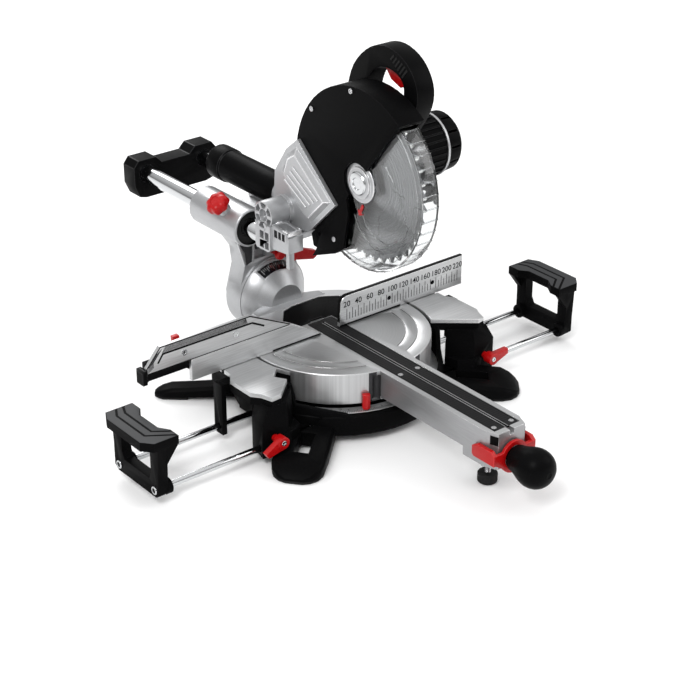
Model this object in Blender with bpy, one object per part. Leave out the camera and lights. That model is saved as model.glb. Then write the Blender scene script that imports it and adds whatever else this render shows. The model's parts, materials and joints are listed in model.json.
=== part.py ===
"""Sliding compound mitre saw of the 216 mm blade class, with a rod-mounted extension support at each side.

Sizes are millimetres, and MM turns them into Blender's metres. The origin is on the bench under the turntable's
axis, +X to the operator's right, +Y away from the operator, +Z up. The saw stands square, upright and raised.
"""

import math

import bmesh
import bpy
from mathutils import Matrix, Vector

MM = 0.001
GAP = 0.3  # clearance between neighbouring solids

# Table and base
TABLE = 92.5  # height of the working surface
TURNTABLE_R = 127.0
RING_R = 144.0  # outside of the base's round skirt
RING_TOP = 40.0
WALL_IN = 137.5  # inside of the walls between the skirt and the side plates
SCALE_R = 136.8  # outside of the mitre scale's ring
WING_TOP = 86.2  # casting under the machined side plates
ROD_R = 4.5
ROD_Z = 21.0
ROD_YS = (-87.0, -8.0)
ROD_INNER_X = 150.0
FOOT_TOP = 4.0
CLAMP_X = 180.0  # stem of each rod clamp lever
CLAMP_Z = 37.0

# Mitre arm
ARM_HALF = 29.0
ARM_BOTTOM = 54.6
ARM_FRONT = -339.0
NOSE_BOTTOM = 42.4
KERF_HALF = 21.0  # half-width of the black kerf insert
HANDLE_Z = 57.0

# Fence
FENCE_Y = 4.0
FENCE_T = 6.0

# Bevel joint and rails
JOINT_Y = 144.6  # face of the fixed half, which the tilt arm turns against
HUB_R = 55.0
RAIL_X = 50.0
RAIL_Z = 214.0
RAIL_R = 12.5
BARREL_R = 27.0
REAR_Y = 405.0

# Head
PIVOT_Y = 78.0
PIVOT_Z = 251.0
RAISE = 51.0  # degrees that the head stands above its lowest position
BLADE_R = 108.0
BLADE_FROM_PIVOT = (-151.4, -61.4)  # Y and Z from the pivot to the blade's centre, with the head down
GUARD_R = 117.0
COVER_R = 125.0
MOTOR_Y = 34.0  # motor axis from the blade's centre, with the head down
MOTOR_Z = 40.0
ARBOR_BOSS_R = 40.0  # gear housing about the arbor, and about the motor's axis
MOTOR_BOSS_R = 46.0

FINISHES = {  # colour, metallic, roughness
    "cast_aluminium": ((0.60, 0.61, 0.63), 0.85, 0.45),
    "machined_aluminium": ((0.72, 0.73, 0.74), 0.95, 0.32),
    "black_casting": ((0.022, 0.022, 0.024), 0.1, 0.55),
    "black_plastic": ((0.018, 0.018, 0.020), 0.0, 0.45),
    "support_plastic": ((0.030, 0.031, 0.033), 0.0, 0.5),
    "rubber": ((0.025, 0.025, 0.025), 0.0, 0.85),
    "chrome": ((0.80, 0.81, 0.82), 1.0, 0.12),
    "bare_steel": ((0.48, 0.48, 0.49), 1.0, 0.35),
    "blade_steel": ((0.62, 0.63, 0.64), 1.0, 0.25),
    "red_plastic": ((0.62, 0.02, 0.025), 0.0, 0.38),
    "clear_plastic": ((0.80, 0.83, 0.85), 0.0, 0.08),
    "copper": ((0.72, 0.36, 0.20), 1.0, 0.35),
}


def turn(y, z, degrees):
    """A point turned about X."""
    c, s = math.cos(math.radians(degrees)), math.sin(math.radians(degrees))
    return y * c - z * s, y * s + z * c


RAISED = turn(*BLADE_FROM_PIVOT, -RAISE)
BLADE_Y = PIVOT_Y + RAISED[0]
BLADE_Z = PIVOT_Z + RAISED[1]
# The head's pieces are drawn about the blade's centre with the head down, then raised.
HEAD = Matrix.Translation((0, BLADE_Y, BLADE_Z)) @ Matrix.Rotation(math.radians(-RAISE), 4, "X")
HEAD_PIVOT = (-BLADE_FROM_PIVOT[0], -BLADE_FROM_PIVOT[1])


# ---------------------------------------------------------------------------------------------- solids

def spot(axis, u, v, along):
    """A point from its two coordinates across an axis, in X, Y, Z order, and the one along it."""
    return {"X": (along, u, v), "Y": (u, along, v), "Z": (u, v, along)}[axis]


def skin(rings, place=None, loop=False):
    """A closed mesh over rings of points: capped at both ends, or joined end to end."""
    bm = bmesh.new()
    rows = [[bm.verts.new(p) for p in ring] for ring in rings]
    pairs = list(zip(rows, rows[1:]))
    if loop:
        pairs.append((rows[-1], rows[0]))
    for a, b in pairs:
        for i in range(len(a)):
            j = (i + 1) % len(a)
            bm.faces.new((a[i], a[j], b[j], b[i]))
    if not loop:
        bm.faces.new(rows[0])
        bm.faces.new(rows[-1])
    if place is not None:
        bmesh.ops.transform(bm, matrix=place, verts=bm.verts)
    bmesh.ops.scale(bm, vec=(MM, MM, MM), verts=bm.verts)
    bmesh.ops.recalc_face_normals(bm, faces=bm.faces)
    mesh = bpy.data.meshes.new("solid")
    bm.to_mesh(mesh)
    bm.free()
    solid = bpy.data.objects.new("solid", mesh)
    bpy.context.collection.objects.link(solid)
    return solid


def prism(outline, axis, low, high, place=None):
    """An outline extruded along an axis."""
    return skin([[spot(axis, u, v, t) for u, v in outline] for t in (low, high)], place)


def box(x, y, z, place=None):
    return prism([(x[0], y[0]), (x[1], y[0]), (x[1], y[1]), (x[0], y[1])], "Z", z[0], z[1], place)


def arc(radius, start, stop, centre=(0.0, 0.0), steps=12):
    """Points on an arc, angles in degrees."""
    angles = [math.radians(start + (stop - start) * i / steps) for i in range(steps + 1)]
    return [(centre[0] + radius * math.cos(a), centre[1] + radius * math.sin(a)) for a in angles]


def rounded(corners, steps=4):
    """A smooth closed curve through corners."""
    outline = []
    count = len(corners)
    for i in range(count):
        before, start, end, after = (Vector(corners[(i + k) % count]) for k in (-1, 0, 1, 2))
        for step in range(steps):
            t = step / steps
            point = start * 2 + (end - before) * t + (before * 2 - start * 5 + end * 4 - after) * t**2
            outline.append(tuple((point + (start * 3 - before - end * 3 + after) * t**3) / 2))
    return outline


def turned(profile, axis, centre=(0.0, 0.0), steps=24, place=None, hollow=False, lobes=0, depth=0.0):
    """A profile of (place along the axis, radius) turned round it. A hollow one's profile is a closed loop.
    Lobes wave the radius by a depth in its own proportion, as on a star knob."""
    rings = []
    for along, radius in profile:
        ring = []
        for i in range(steps):
            a = 2 * math.pi * i / steps
            r = radius * (1 + depth * math.cos(lobes * a))
            ring.append(spot(axis, centre[0] + r * math.cos(a), centre[1] + r * math.sin(a), along))
        rings.append(ring)
    return skin(rings, place, loop=hollow)


def bar(axis, radius, low, high, centre=(0.0, 0.0), steps=16, place=None):
    """A plain round bar, used as a solid or as a drill."""
    return turned([(low, radius), (high, radius)], axis, centre, steps, place)


def mirrored(outline):
    return [(-x, y) for x, y in outline]


def on_side(side, low, high):
    """A span of X given for the right side, as it lies on a side of -1 or 1."""
    return tuple(sorted((side * low, side * high)))


def axis_place(origin, direction):
    """The matrix that lays the Z axis along a direction from an origin."""
    return Matrix.Translation(origin) @ Vector(direction).to_track_quat("Z", "Y").to_matrix().to_4x4()


# ------------------------------------------------------------------------------- nodes, pivots, finishes

def add(solid):
    return "UNION", solid


def cut(solid):
    return "DIFFERENCE", solid


def make_finishes():
    made = {}
    for name, (colour, metallic, roughness) in FINISHES.items():
        finish = bpy.data.materials.new(name)
        finish.use_nodes = True
        shader = finish.node_tree.nodes["Principled BSDF"]
        shader.inputs["Base Color"].default_value = (*colour, 1)
        shader.inputs["Metallic"].default_value = metallic
        shader.inputs["Roughness"].default_value = roughness
        made[name] = finish
    return made


def pivot(name, at=(0, 0, 0), parent=None):
    """An empty on a body's joint axis, which carries the body's pieces."""
    empty = bpy.data.objects.new(name + "_pivot", None)
    empty.location = Vector(at) * MM
    bpy.context.collection.objects.link(empty)
    if parent is not None:
        attach(empty, parent)
    bpy.context.view_layer.update()
    return empty


def attach(obj, parent):
    obj.parent = parent
    obj.matrix_parent_inverse = parent.matrix_world.inverted()


def node(name, finish, parent, solid, *steps, bevel=0.0):
    """Names a solid, adds to it and cuts it in the order given, and rounds its edges."""
    solid.name = name
    solid.data.materials.append(MATERIALS[finish])
    for operation, tool in steps:
        change = solid.modifiers.new(operation.title(), "BOOLEAN")
        change.operation = operation
        change.object = tool
        tool.name = f"{name}_{operation.lower()}"
        tool.hide_render = True
        tool.display_type = "WIRE"
        attach(tool, parent)
    if bevel:
        edge = solid.modifiers.new("Edges", "BEVEL")
        edge.width = bevel * MM
        edge.segments = 1
        edge.limit_method = "ANGLE"
        edge.angle_limit = math.radians(50)
    solid.data.shade_smooth()
    solid.data.set_sharp_from_angle(angle=math.radians(35))
    attach(solid, parent)
    return solid


# ------------------------------------------------------------------------------------------------ base

def wing_outline(side):
    """Plan of a side plate: its inner edge follows the turntable. Only the left one is notched at the front."""
    if side < 0:
        return arc(TURNTABLE_R + 4.5, 178, 204, steps=5) + [
            (-128.5, -35.0), (-145.0, -52.0), (-135.7, -67.0), (-165.5, -94.0), (-180.5, -95.0),
            (-185.0, -79.0), (-194.0, -67.0), (-194.0, -24.0), (-184.0, -11.0), (-184.0, 3.5)]
    return mirrored(arc(TURNTABLE_R + 4.5, 178, 204.5, steps=5) + [
        (-170.5, -96.0), (-181.0, -94.0), (-185.5, -80.0), (-191.0, -70.0), (-191.0, -22.0), (-184.0, -11.0),
        (-184.0, 3.5)])


# Each leg runs out diagonally from the skirt to a rounded toe. Stations are the way along it, its half-width
# there, and the heights of its underside and top, for the left side.
FRONT_LEG = {"centre": (-168, -133.5), "along": (-0.77, -0.64),
             "stations": ((-76, 31, 6, 26), (-20, 34, 5, 23), (10, 34, FOOT_TOP + GAP, 20),
                          (22, 30, FOOT_TOP + GAP, 15), (30, 22, FOOT_TOP + GAP, 10), (34, 12, FOOT_TOP + GAP, 7))}
REAR_LEG = {"centre": (-176.3, 123.5), "along": (-0.77, 0.64),
            "stations": ((-76, 13, 6, 22), (-20, 14, 5, 18), (10, 14, FOOT_TOP + GAP, 16.5),
                         (22, 13, FOOT_TOP + GAP, 13), (29, 9, FOOT_TOP + GAP, 10), (33, 5, FOOT_TOP + GAP, 7))}


def leg_point(side, leg_line, along, across):
    """Plan position of a point on a leg."""
    cx, cy = leg_line["centre"]
    dx, dy = Vector(leg_line["along"]).normalized()
    return -side * (cx + along * dx - across * dy), cy + along * dy + across * dx


def leg(side, leg_line, chamfer=4.0):
    """A slab from the skirt to its toe, with its top edges chamfered."""
    rings = []
    for along, half, low, high in leg_line["stations"]:
        edge = min(chamfer, (high - low) / 2, half / 2)
        section = [(-half, low), (half, low), (half, high - edge), (half - edge, high), (edge - half, high),
                   (-half, high - edge)]
        rings.append([(*leg_point(side, leg_line, along, across), z) for across, z in section])
    return skin(rings)


def leg_slot(side, leg_line, along, across):
    """The cutter for a leg's hole, from its spans along and across."""
    corners = [leg_point(side, leg_line, t, w) for t, w in
               ((along[0], across[0]), (along[1], across[0]), (along[1], across[1]), (along[0], across[1]))]
    return prism(corners, "Z", 0, 60)


def foot(name, parent, side, leg_line, start, inset=1.0):
    """A rubber pad under a leg's toe, with the toe's outline."""
    reach = [(t, half - inset) for t, half, low, high in leg_line["stations"] if t > start]
    edge = [(start, reach[0][1])] + reach
    outline = [leg_point(side, leg_line, t, half) for t, half in edge]
    outline += [leg_point(side, leg_line, t, -half) for t, half in edge[::-1]]
    node(name, "rubber", parent, prism(outline, "Z", 0, FOOT_TOP), bevel=1.0)


def drum_wall(side):
    """The curved wall between the skirt and a side plate, outside the pointer's path. Its front is low enough for the
    mitre arm to swing over it."""
    rings = []
    for angle, high in ((180, 80), (194, 80), (206, 80), (209, 52), (223, 49), (237, RING_TOP + 2.5)):
        ray = Vector((math.cos(math.radians(angle)), math.sin(math.radians(angle))))
        inner, outer = ray * WALL_IN, ray * (RING_R - 0.2)
        section = [(*inner, RING_TOP - 3), (*outer, RING_TOP - 3), (*outer, high), (*inner, high)]
        rings.append([(x if side < 0 else -x, y, z) for x, y, z in section])
    return skin(rings)


def base_side_steps(side):
    """What one side adds to the base casting: the plate's bed, its posts, the rear block and two legs."""
    def plan(outline, low, high):
        return prism(outline if side < 0 else mirrored(outline), "Z", low, high)

    post = [(-190, -64), (-198, -97), (-160, -101), (-131.5, -72), (-148, -60)]
    post_top = [(-185, -66), (-186, -94), (-160, -97), (-134, -72), (-148, -62)]
    post_rings = [[(x if side < 0 else -x, y, z) for x, y in outline]
                  for outline, z in ((post, 11), (post, 58), (post_top, 80))]
    front_panel = [(-181, -97), (-158, -104), (-136, -94), (-131.5, -72), (-165, -70)]
    rear_block = [(-184, 0), (-184, 32), (-128, 32), (-133, 0)]
    return [
        add(prism(wing_outline(side), "Z", 76, WING_TOP)),
        add(skin(post_rings)),
        add(drum_wall(side)),
        add(plan(front_panel, 11, RING_TOP - 0.5)),
        add(plan([(-203, -17), (-196, -17), (-196, 1), (-203, 1)], 11, 84)),
        add(plan([(-202, -16), (-182, -16), (-182, 0), (-202, 0)], 68, 83)),
        add(plan([(-143, -18), (-131.6, -18), (-131.6, 30), (-143, 30)], 11, 80)),
        add(plan(rear_block, 62, WING_TOP)),
        add(leg(side, FRONT_LEG)),
        add(leg(side, REAR_LEG)),
        cut(leg_slot(side, FRONT_LEG, (-53, -8), (-10, 10))),
    ]


def build_base(base):
    skirt = turned([(12, 139), (12, RING_R), (RING_TOP - 2, RING_R), (RING_TOP, RING_R - 2), (RING_TOP, 121),
                    (34, 121), (34, 139)], "Z", hollow=True, steps=48)
    steps = [add(bar("Z", 122, 34.5, 38, steps=48)), add(bar("Z", 20, 24, 48))]
    for side in (-1, 1):
        steps += base_side_steps(side)
    steps += [cut(bar("X", ROD_R + 0.5, -210, 210, (y, ROD_Z), steps=16)) for y in ROD_YS]
    steps.append(cut(bar("Z", 6.3, 20, 50)))
    steps.append(cut(turned([(RING_TOP + 0.05, 120), (RING_TOP + 0.05, SCALE_R + 0.3), (42, SCALE_R + 0.3), (42, 120)],
                            "Z", steps=48, hollow=True)))
    steps += [cut(bar("Y", 5.3, -120, -76, (side * CLAMP_X, CLAMP_Z), steps=16)) for side in (-1, 1)]
    node("base_casting", "black_casting", base, skirt, *steps)

    for side, word in ((-1, "left"), (1, "right")):
        plate = prism(wing_outline(side), "Z", WING_TOP + GAP, TABLE)
        node(f"{word}_table_plate", "machined_aluminium", base, plate, bevel=0.6)
        foot(f"{word}_front_foot", base, side, FRONT_LEG, -6)
        foot(f"{word}_rear_foot", base, side, REAR_LEG, -13)
    scale = [(RING_TOP + GAP, 122), (RING_TOP + GAP, SCALE_R), (41.5, SCALE_R), (41.5, 122)]
    node("mitre_scale_ring", "machined_aluminium", base, turned(scale, "Z", hollow=True, steps=48))
    bolt = [(17, 11), (23.6, 11), (23.7, 6), (70.4, 6), (70.5, 10), (76, 10), (76.1, 6), (77, 6)]
    node("turntable_bolt", "bare_steel", base, turned(bolt, "Z", steps=24))


def build_fences(base):
    right = [(8, GAP), (229, GAP), (229, 43.8), (18, 43.8), (13, 41), (9.5, 36)]
    foot_x = (136, 184)
    low, high = FENCE_Y, FENCE_Y + FENCE_T

    def plate(outline, y0, y1):
        return prism([(x, TABLE + h) for x, h in outline], "Y", y0, y1)

    node("right_fence", "machined_aluminium", base, plate(right, low, high),
         add(box(foot_x, (high - 1, 28), (WING_TOP + GAP, TABLE + 6))),
         add(prism([(high - 1, TABLE + 5), (26, TABLE + 5), (high - 1, TABLE + 38)], "X", 156, 162)),
         cut(bar("Y", 3.0, low - 1, high + 1, (95, TABLE + 18), steps=12)),
         cut(bar("Y", 3.0, low - 1, high + 1, (174, TABLE + 18), steps=12)), bevel=0.5)
    left = [(-233, GAP), (-21, GAP), (-73, 30.5), (-233, 30.5)]
    node("left_fence_lower", "machined_aluminium", base, plate(left, low, high),
         add(box((-184, -136), (high - 1, 28), (WING_TOP + GAP, TABLE + 6))),
         add(box((-222, -198), (high - 1, 19), (TABLE + GAP, TABLE + 10))), bevel=0.5)


def build_clamp(name, base, side, lean):
    """The lever that clamps a side's rods, on a stem through the front post. Lean turns its arm, in degrees."""
    x, z = side * CLAMP_X, CLAMP_Z
    body = pivot(name, (x, -106, z), base)
    tip = [turn(u, v, lean) for u, v in ((5, 6), (-5, -7), (19.5, -19), (25, -13.5))]
    arm = [(x + side * u, z + v) for u, v in (tip if side > 0 else tip[::-1])]
    node(name, "red_plastic", body, bar("Y", 8.2, -119, -106.3, (x, z), steps=24),
         add(prism(arm, "Y", -118, -110)), add(bar("Y", 4.8, -107, -82, (x, z), steps=16)),
         cut(bar("Y", 4, -120, -116, (x, z), steps=12)))


# ---------------------------------------------------------------------------------------- side supports

def build_support(word, base, side):
    """A support: a ridged plate on a window frame, sliding on two rods."""
    body = pivot(f"{word}_support", (side * 345, ROD_YS[0], ROD_Z), base)
    outer, inner = 370, 323
    plate = [(inner, -98), (inner + 7, -98), (outer - 12, -98), (outer, -84), (outer, -10), (outer - 8, 5),
             (inner, 5), (inner, -14), (inner + 9, -26), (inner + 9, -66), (inner, -80)]
    frame = [(-98, 82), (-96, 40), (-96, 17), (-90, 11.5), (-5, 11.5), (3, 17), (3, 50), (5, 82)]
    window = [(-80, 79), (-80, 44), (-76, 33), (-20, 33), (-15, 42), (-15, 79)]
    frame_x, window_x = on_side(side, 340, 354), on_side(side, 320, 372)
    steps = [
        add(prism(plate if side > 0 else mirrored(plate), "Z", 80.5, TABLE - 0.5)),
        cut(prism(window, "X", *window_x)),
        cut(box(on_side(side, 353, 372), (-60, -30), (60, 81))),
    ]
    gusset = [(side * x, z) for x, z in ((inner, 81), (341, 81), (341, 57))]
    steps += [add(prism(gusset, "Y", *span)) for span in ((-97.5, -90), (-5, 4.5))]
    steps += [add(bar("X", 10, *on_side(side, 333, 341), (y, ROD_Z), steps=20)) for y in ROD_YS]
    steps += [cut(bar("X", ROD_R + GAP, *on_side(side, 320, 360), (y, ROD_Z), steps=16)) for y in ROD_YS]
    node(f"{word}_support_frame", "support_plastic", body, prism(frame, "X", *frame_x), *steps)
    for place, y in zip(("front", "rear"), ROD_YS):
        rod = bar("X", ROD_R, *on_side(side, ROD_INNER_X, 353), (y, ROD_Z), steps=16)
        node(f"{word}_{place}_rod", "chrome", body, rod)


# ------------------------------------------------------------------------------------- left upper fence

def build_sliding_fence(base):
    body = pivot("sliding_fence", (-200, FENCE_Y, TABLE + 40), base)
    top = [(-300, 30.8), (-300, 39), (-278.6, 63.5), (-140, 63.5), (-74.5, 31.5), (-77, 30.8)]
    rail = [(-298, 20), (-240, 20), (-228, 11), (-150, 11), (-150, 44), (-298, 44)]
    back = FENCE_Y + FENCE_T

    def plate(outline, y0, y1):
        return prism([(x, TABLE + h) for x, h in outline], "Y", y0, y1)

    node("left_fence_upper", "machined_aluminium", body, plate(top, FENCE_Y, back), bevel=0.5)
    node("fence_slide_rail", "black_plastic", body, plate(rail, back + GAP, back + 7),
         add(plate([(-298, 21), (-236, 21), (-236, 30.4), (-298, 30.4)], FENCE_Y + 0.5, back + 1)),
         add(plate([(-307, 18), (-300.3, 18), (-300.3, 38), (-307, 38)], FENCE_Y - 2, back + 7)),
         add(plate([(-301, 19.5), (-297, 19.5), (-297, 29), (-301, 29)], FENCE_Y + 1, back + 6)),
         cut(plate([(-226, 8), (-196, 8), (-196, 26), (-226, 26)], back, back + 8)))

    lock = pivot("fence_lock", (-245, back + 7, TABLE + 38), body)
    node("fence_lock_lever", "red_plastic", lock,
         bar("Y", 8, back + 7.3, back + 18, (-245, TABLE + 38), steps=20),
         add(plate([(-247, 30), (-237, 36), (-240, 62), (-249, 62)], back + 9, back + 15)))


# ------------------------------------------------------------------------------------------- turntable

def build_turntable(table):
    drum = [(42.5, 116), (49.5, 116), (49.6, TURNTABLE_R), (TABLE - 0.8, TURNTABLE_R), (TABLE, TURNTABLE_R - 0.8)]
    nose = [(-ARM_HALF, -284), (-ARM_HALF, -321), (-26, -328), (-22, ARM_FRONT), (22, ARM_FRONT), (26, -328),
            (ARM_HALF, -321), (ARM_HALF, -284)]
    rear_pocket = rear_cover_outline(0.3)
    node("turntable", "machined_aluminium", table, turned(drum, "Z", steps=72),
         cut(bar("Z", 110, 41, 86, steps=48)),
         add(bar("Z", 22, 48.3, 70)),
         add(box((-30, 30), (-112, -108), (49, 79.5))),
         add(box((-6, 6), (-112, 112), (50, 70))),
         add(box((-112, 112), (-6, 6), (50, 70))),
         add(box((-ARM_HALF, ARM_HALF), (-290, -112), (ARM_BOTTOM, TABLE))),
         add(prism(nose, "Z", NOSE_BOTTOM, TABLE)),
         cut(box((-23.5, 23.5), (-290, -114), (40, 86))),
         cut(box((-23.5, 23.5), (-333, -286), (40, 86))),
         add(bar("Z", 9, 62, 80, (0, -300))),
         add(box((-24, 24), (-303, -297), (64, 80))),
         cut(box((-58, 58), (98, 130), (40, 95))),
         cut(box((-KERF_HALF - GAP, KERF_HALF + GAP), (-330.3, 39.3), (TABLE - 3, 95))),
         cut(box((-12, 12), (-326, 36), (80, 95))),
         cut(box((-3.5, 3.5), (-345, -325), (TABLE - 7, 95))),
         cut(prism(rear_pocket, "Z", TABLE - 4, 95)),
         cut(bar("Z", 6.3, 40, 72)),
         cut(bar("Z", 4.3, 55, 90, (0, -300), steps=16)),
         cut(bar("Y", 5.3, -345, -325, (0, HANDLE_Z), steps=16)))

    insert = [(-KERF_HALF, 39), (-KERF_HALF, -318), (-16, -330), (16, -330), (KERF_HALF, -318), (KERF_HALF, 39)]
    node("kerf_insert", "black_plastic", table, prism(insert, "Z", TABLE - 2.7, TABLE - 0.2),
         cut(box((-5.5, 5.5), (-324, 30), (80, 95))))
    node("rear_cover", "black_plastic", table, prism(rear_cover_outline(0), "Z", TABLE - 3.7, TABLE - 1),
         cut(box((-12, 12), (30, 48), (80, 95))))

    pointer = [(-5, 127.6), (5, 127.6), (5, 133), (0, 136), (-5, 133)]
    node("mitre_pointer", "red_plastic", table,
         prism(pointer, "Z", 42.6, 64, Matrix.Rotation(math.radians(158), 4, "Z")), bevel=0.6)
    build_bevel_hub(table)
    build_arm_foot(table)
    build_mitre_handle(table)


def rear_cover_outline(grow):
    """Plan of the dark cover behind the fence, which stops short of the rim and of the bevel hub."""
    radius, front = 107 + grow, 17 - grow
    rim = arc(radius, math.degrees(math.asin(front / radius)), 62, steps=10)
    return [(22 - grow, front)] + rim + [(45, 97.2 + grow), (-2, 97.2 + grow), (-20 - grow, 92 + grow),
                                             (-45 - grow, 62), (-45 - grow, 40 - grow), (22 - grow, 40 - grow)]


def build_bevel_hub(table):
    """The fixed half of the bevel joint: a dome on a coned front, with a scale window on top, on a block in the rim."""
    drum = [(111, 25.6), (111.6, 26.6), (126.3, 39.4), (127.3, 40.6), (132, 45.6), (138, 50.8), (JOINT_Y, HUB_R)]
    window = []
    for angle in range(68, 125, 8):
        a = math.radians(angle)
        section = [(129.5, 41.4), (141.5, 51.2), (141.5, 60), (129.5, 60)]
        window.append([(r * math.cos(a), y, TABLE + r * math.sin(a)) for y, r in section])
    rim = arc(TURNTABLE_R, 63.0, 117.0, steps=10)
    block = [(57.6, 98.4)] + rim + [(-57.6, 98.4)]
    node("bevel_hub", "cast_aluminium", table, turned(drum, "Y", (0, TABLE), steps=48),
         cut(box((-70, 70), (90, 150), (20, 43))),
         add(prism(block, "Z", 49.5, TABLE)),
         cut(skin(window)),
         cut(bar("Y", 7.3, 114, 150, (0, TABLE), steps=20)))
    bolt = [(115, 7), (186.2, 7), (186.3, 15), (196, 15), (198, 12)]
    node("bevel_bolt", "bare_steel", table, turned(bolt, "Y", (0, TABLE), steps=24))


def build_arm_foot(table):
    body = pivot("arm_foot", (0, -300, 0), table)
    profile = [(0.5, 11.5), (1.5, 12.5), (13, 12.5), (14, 11.5), (14.1, 4), (74, 4)]
    node("arm_foot", "black_plastic", body, turned(profile, "Z", (0, -300), steps=24))


def build_mitre_handle(table):
    body = pivot("mitre_handle", (0, ARM_FRONT, HANDLE_Z), table)
    grip = [(-312, 4.8), (ARM_FRONT - 0.6, 4.8), (ARM_FRONT - 0.7, 9.5), (-347.1, 9.5), (-347.2, 16),
            (-348.5, 17.3), (-354, 18), (-362, 20.6), (-372, 24.2), (-382, 25.6), (-391, 24), (-398, 19.8), (-403, 13),
            (-405, 6)]
    node("mitre_handle_grip", "black_plastic", body, turned(grip, "Y", (0, HANDLE_Z), steps=24))

    yoke = pivot("detent_yoke", (0, -310, 66), table)
    limb = [(-306, 57), (-309, 54), (-345.8, 54), (-345.8, 68), (-340, 73), (-314, 73), (-306, 68)]
    collar = (0, HANDLE_Z)
    front = [(33, 55), *arc(22, -30, -150, collar, 8), (-33, 55), (-33, 68), *arc(22, 150, 30, collar, 8), (33, 68)]
    node("detent_yoke", "red_plastic", yoke, prism(limb, "X", ARM_HALF + 0.5, ARM_HALF + 6),
         add(prism(front, "Y", -345.8, -341.5)),
         add(prism(limb, "X", -ARM_HALF - 6, -ARM_HALF - 0.5)),
         cut(bar("Y", 15.5, -350, -330, collar, steps=32)))


# ------------------------------------------------------------------------------------- tilt arm and rails

def build_tilt_arm(table):
    tilt = pivot("tilt", (0, JOINT_Y, TABLE), table)
    disc = [(JOINT_Y + GAP, HUB_R + 1), (178, HUB_R + 1), (184, HUB_R - 6)]
    waist = [(-50, TABLE - 12), (50, TABLE - 12), (54, TABLE + 10), (43, 142), (46, 168), (66, 198), (60, 212),
             (-60, 212), (-66, 198), (-46, 168), (-43, 142), (-54, TABLE + 10)]
    steps = [
        add(prism(waist, "Y", 150, 181)),
        add(box((-50, 50), (134, 226), (192, 208))),
    ]
    for side in (-1, 1):
        centre = (side * RAIL_X, RAIL_Z)
        steps.append(add(turned([(122, BARREL_R - 1.5), (123.5, BARREL_R), (229.5, BARREL_R),
                                 (231, BARREL_R - 1.5)], "Y", centre, steps=28)))
    knob_place = axis_place((-RAIL_X, 158, RAIL_Z), (-0.67, 0, 0.742))
    steps.append(add(bar("Z", 9.5, 20, 32.6, place=knob_place)))
    steps.append(add(bar("Y", 8, 134.3, 152, (22, 154))))
    for side in (-1, 1):
        centre = (side * RAIL_X, RAIL_Z)
        steps.append(cut(bar("Y", RAIL_R + 0.5, 110, 240, centre, steps=24)))
        steps.append(cut(bar("Y", 21, 121, 134, centre, steps=24)))
    steps += [
        cut(bar("Z", 4.2, 8, 40, place=knob_place, steps=16)),
        cut(bar("Y", 7.3, 140, 190, (0, TABLE), steps=20)),
        cut(bar("Y", 3.8, 134, 166, (2, 158), steps=16)),
        cut(bar("Y", 4.3, 130, 166, (22, 154), steps=16)),
        cut(box((-34, -7), (149, 157), (151, 167))),
    ]
    node("tilt_arm", "cast_aluminium", tilt, turned(disc, "Y", (0, TABLE), steps=48), *steps)

    knob = pivot("rail_lock", (-RAIL_X, 158, RAIL_Z), tilt)
    star = [(34, 9), (36, 14), (39, 15.5), (47, 15.5), (51, 12.5), (52, 8)]
    node("rail_lock_knob", "red_plastic", knob,
         turned(star, "Z", steps=36, place=knob_place, lobes=6, depth=0.08),
         add(bar("Z", 3.9, 13.6, 35, steps=16, place=knob_place)))

    lever = pivot("bevel_lever", (22, 128, 154), tilt)
    handle = [(20, 161), (18, 150), (27, 145), (56, 138), (62, 141), (61, 150), (34, 160)]
    node("bevel_lever", "red_plastic", lever, bar("Y", 9, 122, 134, (22, 154)),
         add(prism(handle, "Y", 123, 131)),
         add(bar("Y", 4, 133, 165, (22, 154), steps=12)))
    pin = pivot("bevel_pin", (2, 130, 158), tilt)
    profile = [(124, 5.5), (126, 7), (132, 7), (133.5, 5), (133.6, 3.5), (163, 3.5)]
    node("bevel_pin", "red_plastic", pin, turned(profile, "Y", (2, 158), steps=20))
    build_carriage(tilt)


def build_carriage(tilt):
    body = pivot("carriage", (0, PIVOT_Y, RAIL_Z), tilt)
    for side, word in ((-1, "left"), (1, "right")):
        tube = [(84, 9.5), (84, RAIL_R), (389, RAIL_R), (389, 9.5)]
        node(f"{word}_rail", "chrome", body,
             turned(tube, "Y", (side * RAIL_X, RAIL_Z), steps=24, hollow=True))
    build_bracket(body)
    yoke = [(-72, 198), (-64, 180), (-52, 177), (52, 177), (64, 180), (72, 198), (72, 226), (64, 236), (34, 236),
            (24, 226), (-24, 226), (-34, 236), (-64, 236), (-72, 226)]
    node("rear_yoke", "black_plastic", body, prism(yoke, "Y", 376, REAR_Y),
         *[cut(bar("Y", RAIL_R + GAP, 370, 389.4, (side * RAIL_X, RAIL_Z), steps=24)) for side in (-1, 1)],
         cut(box((-40, 40), (384, 410), (186, 216))))

    shaft = [(-56, 7), (56, 7)]
    node("pivot_shaft", "bare_steel", body, turned(shaft, "X", (PIVOT_Y, PIVOT_Z), steps=24))
    pin = pivot("lock_down_pin", (65, 93, 239), body)
    profile = [(38, 3.5), (65.5, 3.5), (65.6, 8), (69, 9), (76, 9), (78, 7)]
    node("lock_down_pin", "red_plastic", pin, turned(profile, "X", (93, 239), steps=20))
    build_head(body)


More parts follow.
